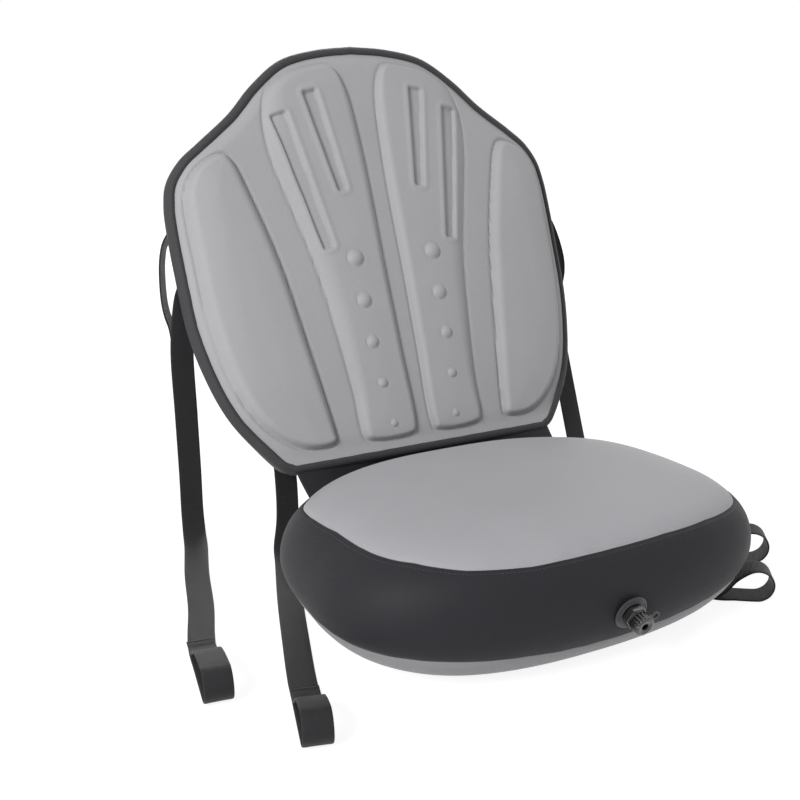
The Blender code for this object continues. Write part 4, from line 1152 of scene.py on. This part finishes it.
# Webbing
def webbing(name, path, sides, material_name):
    """Flat webbing with rounded edges along a path, given the width direction at each point."""
    path = np.asarray(path, float)
    run = np.gradient(path, axis=0)
    run /= np.linalg.norm(run, axis=1, keepdims=True)
    side = np.asarray(sides, float)
    side = side - run * (side * run).sum(axis=1, keepdims=True)
    side /= np.linalg.norm(side, axis=1, keepdims=True)
    up = np.cross(run, side)
    half, thin = WEB_WIDTH / 2, WEB_SHEET / 2
    upper = [(-half, 0.0), (-half + 0.0003, 0.62), (-half + 0.0009, 0.95), (-half * 0.8, 1.06),
             (-half * 0.5, 0.96), (0.0, 0.92), (half * 0.5, 0.96), (half * 0.8, 1.06),
             (half - 0.0009, 0.95), (half - 0.0003, 0.62), (half, 0.0)]
    lower = [(x, -n) for x, n in reversed(upper[1:-1])]
    ring = upper + lower
    count = len(ring)
    rows = np.stack([path + side * x + up * (n * thin) for x, n in ring], axis=1)
    along = arc_lengths(path)
    uvs = np.stack([np.tile([x for x, _ in ring], len(path)), np.repeat(along, count)], axis=1)
    obj = finish_mesh(name, rows.reshape(-1, 3), tube_faces(len(path), count), material(material_name),
                      uvs=uvs, sharp=70)
    return obj, along[-1]


def tab_frame(level, sign):
    """Frame of a sewn tab: y out of the backrest's rear, z along the tab towards its sewn end."""
    (x, z), slope, _ = TABS[level]
    spot = Vector((sign * x, BACK_DEPTH + float(bow(x)), z))
    grade = float(bow(x + 0.001) - bow(x - 0.001)) / 0.002
    out = Vector((-sign * grade, 1.0, 0.0)).normalized()
    along = Vector((-sign * math.cos(slope), 0.0, math.sin(slope)))
    along = (along - out * along.dot(out)).normalized()
    across = out.cross(along)
    local = Matrix((
        (across.x, out.x, along.x, spot.x),
        (across.y, out.y, along.y, spot.y),
        (across.z, out.z, along.z, spot.z),
        (0.0, 0.0, 0.0, 1.0),
    ))
    return BACK @ local


def tab_points(under):
    """Side view of a tab: over the buckle's bar and back under itself, as (y, z)."""
    lift = WEB_SHEET / 2 + under
    top = TAB_STEP + BUCKLE_SHEET / 2
    reach = -TAB_LENGTH
    radius = BAR_WRAP
    points = [(lift, 0.012), (lift, 0.004), (lift + 0.0006, -0.004), (top - radius, reach + 0.007)]
    for k in range(1, 6):
        turn = -math.pi / 2 - math.pi * k / 6
        points.append((top + radius * math.sin(turn), reach + radius * math.cos(turn)))
    second = lift + WEB_SHEET + GAP * 2
    points += [(top + radius, reach + 0.003), (top + 0.0015, -0.009), (second + 0.0004, 0.002),
               (second, 0.005), (second, 0.011)]
    return points


def in_frame(matrix, points):
    return np.array([matrix @ Vector(p) for p in points])


def build_tabs():
    """Sewn tabs that hold the buckles, with their box stitches."""
    seams = []
    for sign, word in ((-1, "left"), (1, "right")):
        for level, (_, _, under) in TABS.items():
            matrix = tab_frame(level, sign)
            path = smooth_curve([(0.0, y, z) for y, z in tab_points(under)], 4)
            world = in_frame(matrix, path)
            across = np.array(matrix.to_3x3() @ Vector((1, 0, 0)))
            node = "tab_%s_%s" % (level, word)
            piece, _ = webbing(node + "_webbing", world, np.tile(across, (len(world), 1)), "tab_webbing")
            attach(piece, "backrest")
            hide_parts(node)
            top = WEB_SHEET * 2 + under + GAP * 2 + 0.0001
            corners = [(x, top, z) for x, z in (
                (-BOX_HALF, BOX_LOW), (BOX_HALF, BOX_LOW), (BOX_HALF, BOX_HIGH), (-BOX_HALF, BOX_HIGH))]
            seams.append(in_frame(matrix, corners + [corners[0], corners[2]]))
            seams.append(in_frame(matrix, [corners[1], corners[3]]))
            buckle = bpy.data.objects["buckle_%s_%s" % (level, word)]
            buckle.data.materials.clear()
            buckle.data.materials.append(material("buckle_plastic"))
    sew("tab_stitches", seams, "grey_thread", TAB_STITCH, "backrest")


def threaded_part(matrix):
    """Webbing through a buckle, from the loose end over the top bar down to the loaded end."""
    middle_y = TAB_STEP + BUCKLE_SHEET / 2
    middle_z = -TAB_LENGTH - BAR_PITCH
    wrap = BAR_WRAP + 0.0002
    steps = (
        (BAR_WRAP + WEB_SHEET + 0.0015, BAR_PITCH + 0.004), (0.0062, BAR_PITCH),
        (0.0053, BAR_PITCH - 0.0030), (0.0030, 0.0064), (0.0002, 0.0047), (-0.0025, 0.0030),
        (-wrap, 0.0), (-0.0026, -0.0032), (0.0, -BAR_PITCH / 2), (0.0026, -BAR_PITCH + 0.0032),
        (wrap, -BAR_PITCH), (wrap, -BAR_PITCH - 0.004),
    )
    across = (matrix.to_3x3() @ Vector((1, 0, 0))).normalized()
    return [(tuple(matrix @ Vector((0, middle_y + y, middle_z + z))), tuple(across)) for y, z in steps]


def end_loop(start, heading, length, height):
    """Sewn end loop: along the floor, round the nose and back over itself."""
    run = np.array(heading) / math.hypot(*heading)
    across = (-run[1], run[0], 0.0)
    radius = height / 2
    profile = [(0.0, 0.0), (length * 0.35, 0.0), (length - radius - 0.004, 0.0)]
    for k in range(7):
        turn = math.radians(-70 + 30 * k)
        profile.append((length - radius + radius * math.cos(turn), radius + radius * math.sin(turn)))
    stacked = WEB_SHEET + GAP
    profile += [(length * 0.36, height * 0.66), (length * 0.19, height * 0.27),
                (length * 0.07, stacked + 0.0014), (-0.001, stacked + 0.0002), (-0.006, stacked),
                (-0.013, stacked)]
    return [((start[0] + run[0] * s, start[1] + run[1] * s, FLOOR_Z + z), across) for s, z in profile]


def build_straps():
    """Four straps with their threaded ends, tails and sewn loops."""
    seams = []
    for (level, word), (run, loop) in ROUTES.items():
        sign = -1 if word == "left" else 1
        matrix = tab_frame(level, sign)
        threaded = threaded_part(matrix)
        if level == "upper":
            tail = [((-sign * x, y, z), (-sign * sx, sy, sz)) for (x, y, z), (sx, sy, sz) in UPPER_TAIL]
        else:
            tail = [(tuple(matrix @ Vector((0, TAB_STEP + 0.0092, z))), threaded[0][1])
                    for z in (0.016, 0.002, -0.010)]
        controls = tail + threaded + list(run) + end_loop(*loop)
        sides = np.array([side for _, side in controls], float)
        sides[sides[:, 0] < 0] *= -1
        sides /= np.linalg.norm(sides, axis=1, keepdims=True)
        path = smooth_curve([point for point, _ in controls], 7)
        path[:, 2] = np.maximum(path[:, 2], FLOOR_Z)
        spread = smooth_curve(sides, 7, power=0.0)
        node = "strap_%s_%s" % (level, word)
        piece, length = webbing(node + "_webbing", path, spread, "strap_webbing")
        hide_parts(node)
        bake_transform(piece)
        start, heading = np.array(loop[0]), np.array(loop[1]) / math.hypot(*loop[1])
        across = np.array((-heading[1], heading[0]))
        top = FLOOR_Z + WEB_SHEET * 1.5 + GAP + 0.0001
        for back in (0.0025, 0.0050, 0.0110):
            middle = start - heading * back
            ends = [middle + across * 0.0095, middle - across * 0.0095]
            seams.append([(x, y, top) for x, y in ends])
    sew("loop_bar_tacks", seams, "dark_thread", BAR_TACK, "cushion")


# Hinge flap: half widths on the left and on the right, and the height of its lower edge
FLAP_TOP = (0.1465, 0.1515)
FLAP_FOOT = (0.1400, 0.1500)
FLAP_FOOT_Z = 0.062
FLAP_SHEET = 0.0013


def build_flap():
    """Cloth strip between the backrest's lower edge and the cushion's rear, with soft creases."""
    columns, rows = 120, 20
    k = np.linspace(-1, 1, columns)
    top = k * np.where(k > 0, FLAP_TOP[1], FLAP_TOP[0])
    foot = k * np.where(k > 0, FLAP_FOOT[1], FLAP_FOOT[0])
    high = to_world(np.stack([top, bow(top) + 0.0030, np.full(columns, -0.0006)], axis=1))
    low = np.stack([foot, flap_foot(foot, FLAP_FOOT_Z) + 0.0016, np.full(columns, FLAP_FOOT_Z)], axis=1)
    share = np.linspace(0, 1, rows)[:, None, None]
    sag = np.sin(np.pi * share) * np.array((0, 0.0012, -0.001))
    outer = high[None] * (1 - share) + low[None] * share + sag
    creases = soft_noise((outer * (1.0, 1.0, 0.35)).reshape(-1, 3), 0.018, 5.0).reshape(rows, columns)
    fold = np.sin(np.pi * share[..., 0]) * 0.0013 * creases
    outer = outer + fold[..., None] * np.array((0, 0.8, 0.6))
    inner = outer - np.array((0, FLAP_SHEET, 0))
    verts = np.vstack([outer.reshape(-1, 3), inner.reshape(-1, 3)])
    piece = finish_mesh("hinge_flap_cloth", verts, sheet_faces(rows, columns), material("flap_cloth"),
                        uvs=verts[:, (0, 2)])
    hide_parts("hinge_flap")
    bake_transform(piece)


def flap_foot(x, height):
    """y of the cushion's rear at this x and height."""
    y = np.zeros(len(x))
    for _ in range(12):
        middle = MID_HEIGHT + TOP_RAKE * (WIDEST_Y - y)
        cosine = np.minimum(1.0, (height - middle) / (HEIGHT - MID_HEIGHT))
        share = (1 - cosine * cosine) ** (1 / DOME_POWER)
        side = (np.abs(x) / (HALF_WIDTH * share)) ** PLAN_POWER
        y = WIDEST_Y + REAR_REACH * share * (1 - side) ** (1 / PLAN_POWER)
    return y


# Valve: heights of its parts from the cushion up, its bore and the radius that its grip starts at
VALVE_SEAT = 0.0008
FLANGE_HEIGHT = 0.0022
COLLAR_HEIGHT = 0.0065
TETHER_SHEET = 0.0014
CAP_CLEARANCE = 0.0004
CAP_HEIGHT = 0.0085
VALVE_BORE = 0.0067
GRIP_RADIUS = 0.006


def valve_frame():
    axis = Vector(TURN["axis"])
    base = Vector(TURN["pos_m"]) - axis * (VALVE_SEAT + 0.0011)
    return Matrix.Translation(base) @ axis.to_track_quat("Z", "Y").to_matrix().to_4x4()


def turned(name, profile, material_name, count=64, lobes=0, lobe_depth=0.0, lobe_range=(0.0, 0.0)):
    """Turned piece from a closed (radius, height) profile, with optional grip lobes round its side."""
    matrix = valve_frame()
    angles = np.linspace(0, 2 * math.pi, count, endpoint=False)
    rings = []
    for radius, z in profile:
        reach = np.full(count, radius)
        if lobes and lobe_range[0] <= z <= lobe_range[1] and radius > GRIP_RADIUS:
            reach = reach - lobe_depth * (0.5 + 0.5 * np.cos(lobes * angles)) ** 3
        rings.append(np.stack([reach * np.cos(angles), reach * np.sin(angles), np.full(count, z)], axis=1))
    verts = in_frame(matrix, np.concatenate(rings))
    faces = grid_quads(len(profile), count, wrap_rows=True, wrap_columns=True)
    return finish_mesh(name, verts, faces, material(material_name), uvs=verts[:, (0, 2)], sharp=40)


def build_valve():
    """Flange, stem and grooved cap over the carried collar and tether."""
    base = VALVE_SEAT
    flange = turned("valve_flange_disc", [
        (0.0150, base), (0.0152, base + 0.0006), (0.0147, base + 0.0013), (0.0138, base + 0.0016),
        (0.0130, base + 0.0012), (0.0120, base + 0.0017), (0.0112, base + 0.0014),
        (0.0104, base + FLANGE_HEIGHT), (VALVE_BORE, base + FLANGE_HEIGHT), (VALVE_BORE, base)],
        "valve_rubber")
    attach(flange, "cushion")
    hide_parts("valve_flange")
    stem_profile = [(0.0030, 0.0), (0.0062, 0.0), (0.0062, 0.0098)]
    for k in range(4):
        level = 0.0102 + 0.0009 * k
        stem_profile += [(0.0055, level), (0.0060, level + 0.00045)]
    stem_profile += [(0.0042, 0.0145), (0.0042, 0.0195), (0.0030, 0.0195)]
    stem = turned("valve_stem_tube", stem_profile, "valve_plastic")
    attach(stem, "cushion")
    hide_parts("valve_stem")
    low = base + FLANGE_HEIGHT + GAP + COLLAR_HEIGHT + GAP + TETHER_SHEET + CAP_CLEARANCE
    high = low + CAP_HEIGHT
    cap = turned("valve_cap_grip", [
        (0.0066, low), (0.0084, low), (0.0088, low + 0.0004), (0.0088, high - 0.0014),
        (0.0086, high - 0.0007), (0.0079, high - 0.0002), (0.0060, high), (0.0052, high - 0.0006),
        (0.0037, high - 0.0006), (0.0037, low + 0.0064), (0.0066, low + 0.0064)],
        "valve_plastic", count=144, lobes=18, lobe_depth=0.0008, lobe_range=(low, high - 0.0006))
    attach(cap, "valve_cap")
    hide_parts("valve_cap")
    for node, name in (("valve_collar", "valve_plastic"), ("valve_tether", "valve_rubber")):
        carried = bpy.data.objects[node]
        carried.data.materials.clear()
        carried.data.materials.append(material(name))


# Stage: the floor, and each light's name, place, size and share of the key power
FLOOR_HALF = 4.0
FLOOR_GLOW = 1.36
LIGHT_TARGET = Vector((0.0, 0.05, 0.22))
LIGHTS = (
    ("key_light", (-2.4, -1.1, 1.9), 1.1, 1.0),
    ("rim_light", (1.8, 0.6, 1.6), 1.2, 0.08),
    ("rear_light", (0.5, 2.3, 1.1), 1.4, 0.32),
)


def area_light(name, place, size, power):
    data = bpy.data.lights.new(name, "AREA")
    data.shape = "DISK"
    data.size = size
    data.energy = power
    lamp = bpy.data.objects.new(name, data)
    lamp.location = place
    lamp.rotation_euler = (LIGHT_TARGET - Vector(place)).to_track_quat("-Z", "Y").to_euler()
    bpy.context.scene.collection.objects.link(lamp)


def white_rays(make):
    """1 for camera, glossy and transmission rays."""
    path = make.add("ShaderNodeLightPath").outputs
    pair = make.math("MAXIMUM", path["Is Camera Ray"], path["Is Glossy Ray"])
    return make.math("MAXIMUM", pair, path["Is Transmission Ray"])


def build_stage():
    """Floor, world, lights and camera."""
    scene = bpy.context.scene
    settings = scene.kayak_seat
    scene.view_settings.view_transform = "Standard"
    world = bpy.data.worlds.new("studio")
    world.use_nodes = True
    scene.world = world
    make = Nodes(world.node_tree)
    background = world.node_tree.nodes["Background"]
    background.inputs["Color"].default_value = (1, 1, 1, 1)
    lit = make.math("MULTIPLY_ADD", white_rays(make), 1.0 - settings.sky_level, settings.sky_level)
    make.feed(background.inputs["Strength"], lit)
    mesh = bpy.data.meshes.new("floor")
    corners = [(FLOOR_HALF * x, FLOOR_HALF * y, 0) for x, y in ((-1, -1), (1, -1), (1, 1), (-1, 1))]
    mesh.from_pydata(corners, [], [(0, 1, 2, 3)])
    mat = bpy.data.materials.new("floor_white")
    mat.use_nodes = True
    make = Nodes(mat.node_tree)
    mat.node_tree.nodes.remove(mat.node_tree.nodes["Principled BSDF"])
    matt = make.add("ShaderNodeBsdfDiffuse", {"Color": (0.8, 0.8, 0.8, 1)}).outputs["BSDF"]
    glow = make.add("ShaderNodeEmission", {"Color": (1, 1, 1, 1), "Strength": FLOOR_GLOW})
    share = make.math("MULTIPLY", white_rays(make), settings.floor_white)
    mix = make.add("ShaderNodeMixShader", {"Fac": share})
    make.feed(mix.inputs[1], matt)
    make.feed(mix.inputs[2], glow.outputs["Emission"])
    make.feed(mat.node_tree.nodes["Material Output"].inputs["Surface"], mix.outputs["Shader"])
    floor = link_mesh("floor", mesh, mat)
    for name, place, size, share in LIGHTS:
        area_light(name, place, size, settings.key_power * share)
    camera = bpy.data.cameras.new("photo_camera")
    camera.lens = CAMERA_LENS
    camera.sensor_width = 36.0
    eye = bpy.data.objects.new("photo_camera", camera)
    eye.location = CAMERA_PLACE
    eye.rotation_euler = (CAMERA_PITCH, 0.0, CAMERA_HEADING)
    scene.collection.objects.link(eye)
    scene.camera = eye


# Add-on
def colour_property(label, text, value):
    return FloatVectorProperty(name=label, description=text, subtype="COLOR", size=3, default=value,
                               min=0, max=1)


class KayakSeatSettings(bpy.types.PropertyGroup):
    """Sizes and colours of the kayak seat that a user would change"""

    pad_rise: FloatProperty(name="Pad rise", description="How far the moulded pads stand out",
                            default=0.0074, unit="LENGTH")
    slot_depth: FloatProperty(name="Slot depth", description="Depth of the pressed slots in the ribs",
                              default=0.0041, unit="LENGTH")
    binding_lip: FloatProperty(name="Binding lip", description="Width of the edge tape on each face",
                               default=0.0083, unit="LENGTH")
    seam_pull: FloatProperty(name="Seam pull", description="How far the cushion's seams draw in",
                             default=0.0009, unit="LENGTH")
    foam_grey: colour_property("Foam", "Moulded face of the backrest", (0.352, 0.352, 0.362))
    cushion_grey: colour_property("Cushion top", "Coated cloth of the cushion's top", (0.368, 0.362, 0.382))
    # Same cloth as the top, set darker: painted shade on the base under the band's bulge
    shaded_base_grey: colour_property("Cushion base", "Coated cloth of the underside", (0.285, 0.278, 0.292))
    band_dark: colour_property("Side band", "Cloth of the cushion's side", (0.0205, 0.0193, 0.0232))
    webbing_dark: colour_property("Webbing", "Straps", (0.022, 0.022, 0.0238))
    binding_grey: colour_property("Edge binding", "Tape round the backrest", (0.052, 0.052, 0.055))
    trim_black: colour_property("Black trim", "Buckles, pocket tape and valve", (0.013, 0.013, 0.0145))
    thread_dark: colour_property("Dark thread", "Stitches on the dark tape", (0.028, 0.028, 0.030))
    thread_grey: colour_property("Grey thread", "Stitches on the pocket and tabs", (0.10, 0.10, 0.11))
    sky_level: FloatProperty(name="Sky level", description="Strength of the plain surrounding light",
                             default=0.44)
    floor_white: FloatProperty(name="Floor white", description="Share of plain white in the floor",
                               default=0.64)
    key_power: FloatProperty(name="Key power", description="Strength of the main lamp in watts",
                             default=74.0)


class KAYAK_OT_stage(bpy.types.Operator):
    """Build the floor, lights and camera"""

    bl_idname = "kayak.stage"
    bl_label = "Stage"

    def execute(self, context):
        build_stage()
        return {"FINISHED"}


class KAYAK_OT_cushion(bpy.types.Operator):
    """Build the inflated cushion's cover"""

    bl_idname = "kayak.cushion"
    bl_label = "Cushion"

    def execute(self, context):
        build_cushion()
        return {"FINISHED"}


class KAYAK_OT_front(bpy.types.Operator):
    """Build the moulded front of the backrest"""

    bl_idname = "kayak.front"
    bl_label = "Backrest front"

    def execute(self, context):
        build_front()
        return {"FINISHED"}


class KAYAK_OT_rear(bpy.types.Operator):
    """Build the rear skin of the backrest"""

    bl_idname = "kayak.rear"
    bl_label = "Backrest rear"

    def execute(self, context):
        build_rear()
        return {"FINISHED"}


class KAYAK_OT_binding(bpy.types.Operator):
    """Build the tape round the backrest"""

    bl_idname = "kayak.binding"
    bl_label = "Edge binding"

    def execute(self, context):
        build_binding()
        return {"FINISHED"}


class KAYAK_OT_pocket(bpy.types.Operator):
    """Build the net pocket on the back"""

    bl_idname = "kayak.pocket"
    bl_label = "Pocket"

    def execute(self, context):
        build_pocket()
        return {"FINISHED"}


class KAYAK_OT_tabs(bpy.types.Operator):
    """Build the tabs that hold the buckles"""

    bl_idname = "kayak.tabs"
    bl_label = "Tabs"

    def execute(self, context):
        build_tabs()
        return {"FINISHED"}


class KAYAK_OT_straps(bpy.types.Operator):
    """Build the four straps"""

    bl_idname = "kayak.straps"
    bl_label = "Straps"

    def execute(self, context):
        build_straps()
        return {"FINISHED"}


class KAYAK_OT_flap(bpy.types.Operator):
    """Build the cloth hinge"""

    bl_idname = "kayak.flap"
    bl_label = "Hinge flap"

    def execute(self, context):
        build_flap()
        return {"FINISHED"}


class KAYAK_OT_valve(bpy.types.Operator):
    """Build the air valve"""

    bl_idname = "kayak.valve"
    bl_label = "Valve"

    def execute(self, context):
        build_valve()
        return {"FINISHED"}


OPERATORS = (
    KAYAK_OT_stage, KAYAK_OT_cushion, KAYAK_OT_front, KAYAK_OT_rear, KAYAK_OT_binding,
    KAYAK_OT_pocket, KAYAK_OT_tabs, KAYAK_OT_straps, KAYAK_OT_flap, KAYAK_OT_valve,
)


class KAYAK_PT_seat(bpy.types.Panel):
    """Lists the steps that build the seat"""

    bl_label = "Kayak seat"
    bl_idname = "KAYAK_PT_seat"
    bl_space_type = "VIEW_3D"
    bl_region_type = "UI"
    bl_category = "Kayak seat"

    def draw(self, context):
        for operator in OPERATORS:
            self.layout.operator(operator.bl_idname)


CLASSES = (KayakSeatSettings, *OPERATORS, KAYAK_PT_seat)


def register():
    for cls in CLASSES:
        bpy.utils.register_class(cls)
    bpy.types.Scene.kayak_seat = PointerProperty(type=KayakSeatSettings)


def unregister():
    del bpy.types.Scene.kayak_seat
    for cls in reversed(CLASSES):
        bpy.utils.unregister_class(cls)


def main():
    register()
    for operator in OPERATORS:
        group, step = operator.bl_idname.split(".")
        getattr(getattr(bpy.ops, group), step)()


if __name__ == "__main__":
    main()
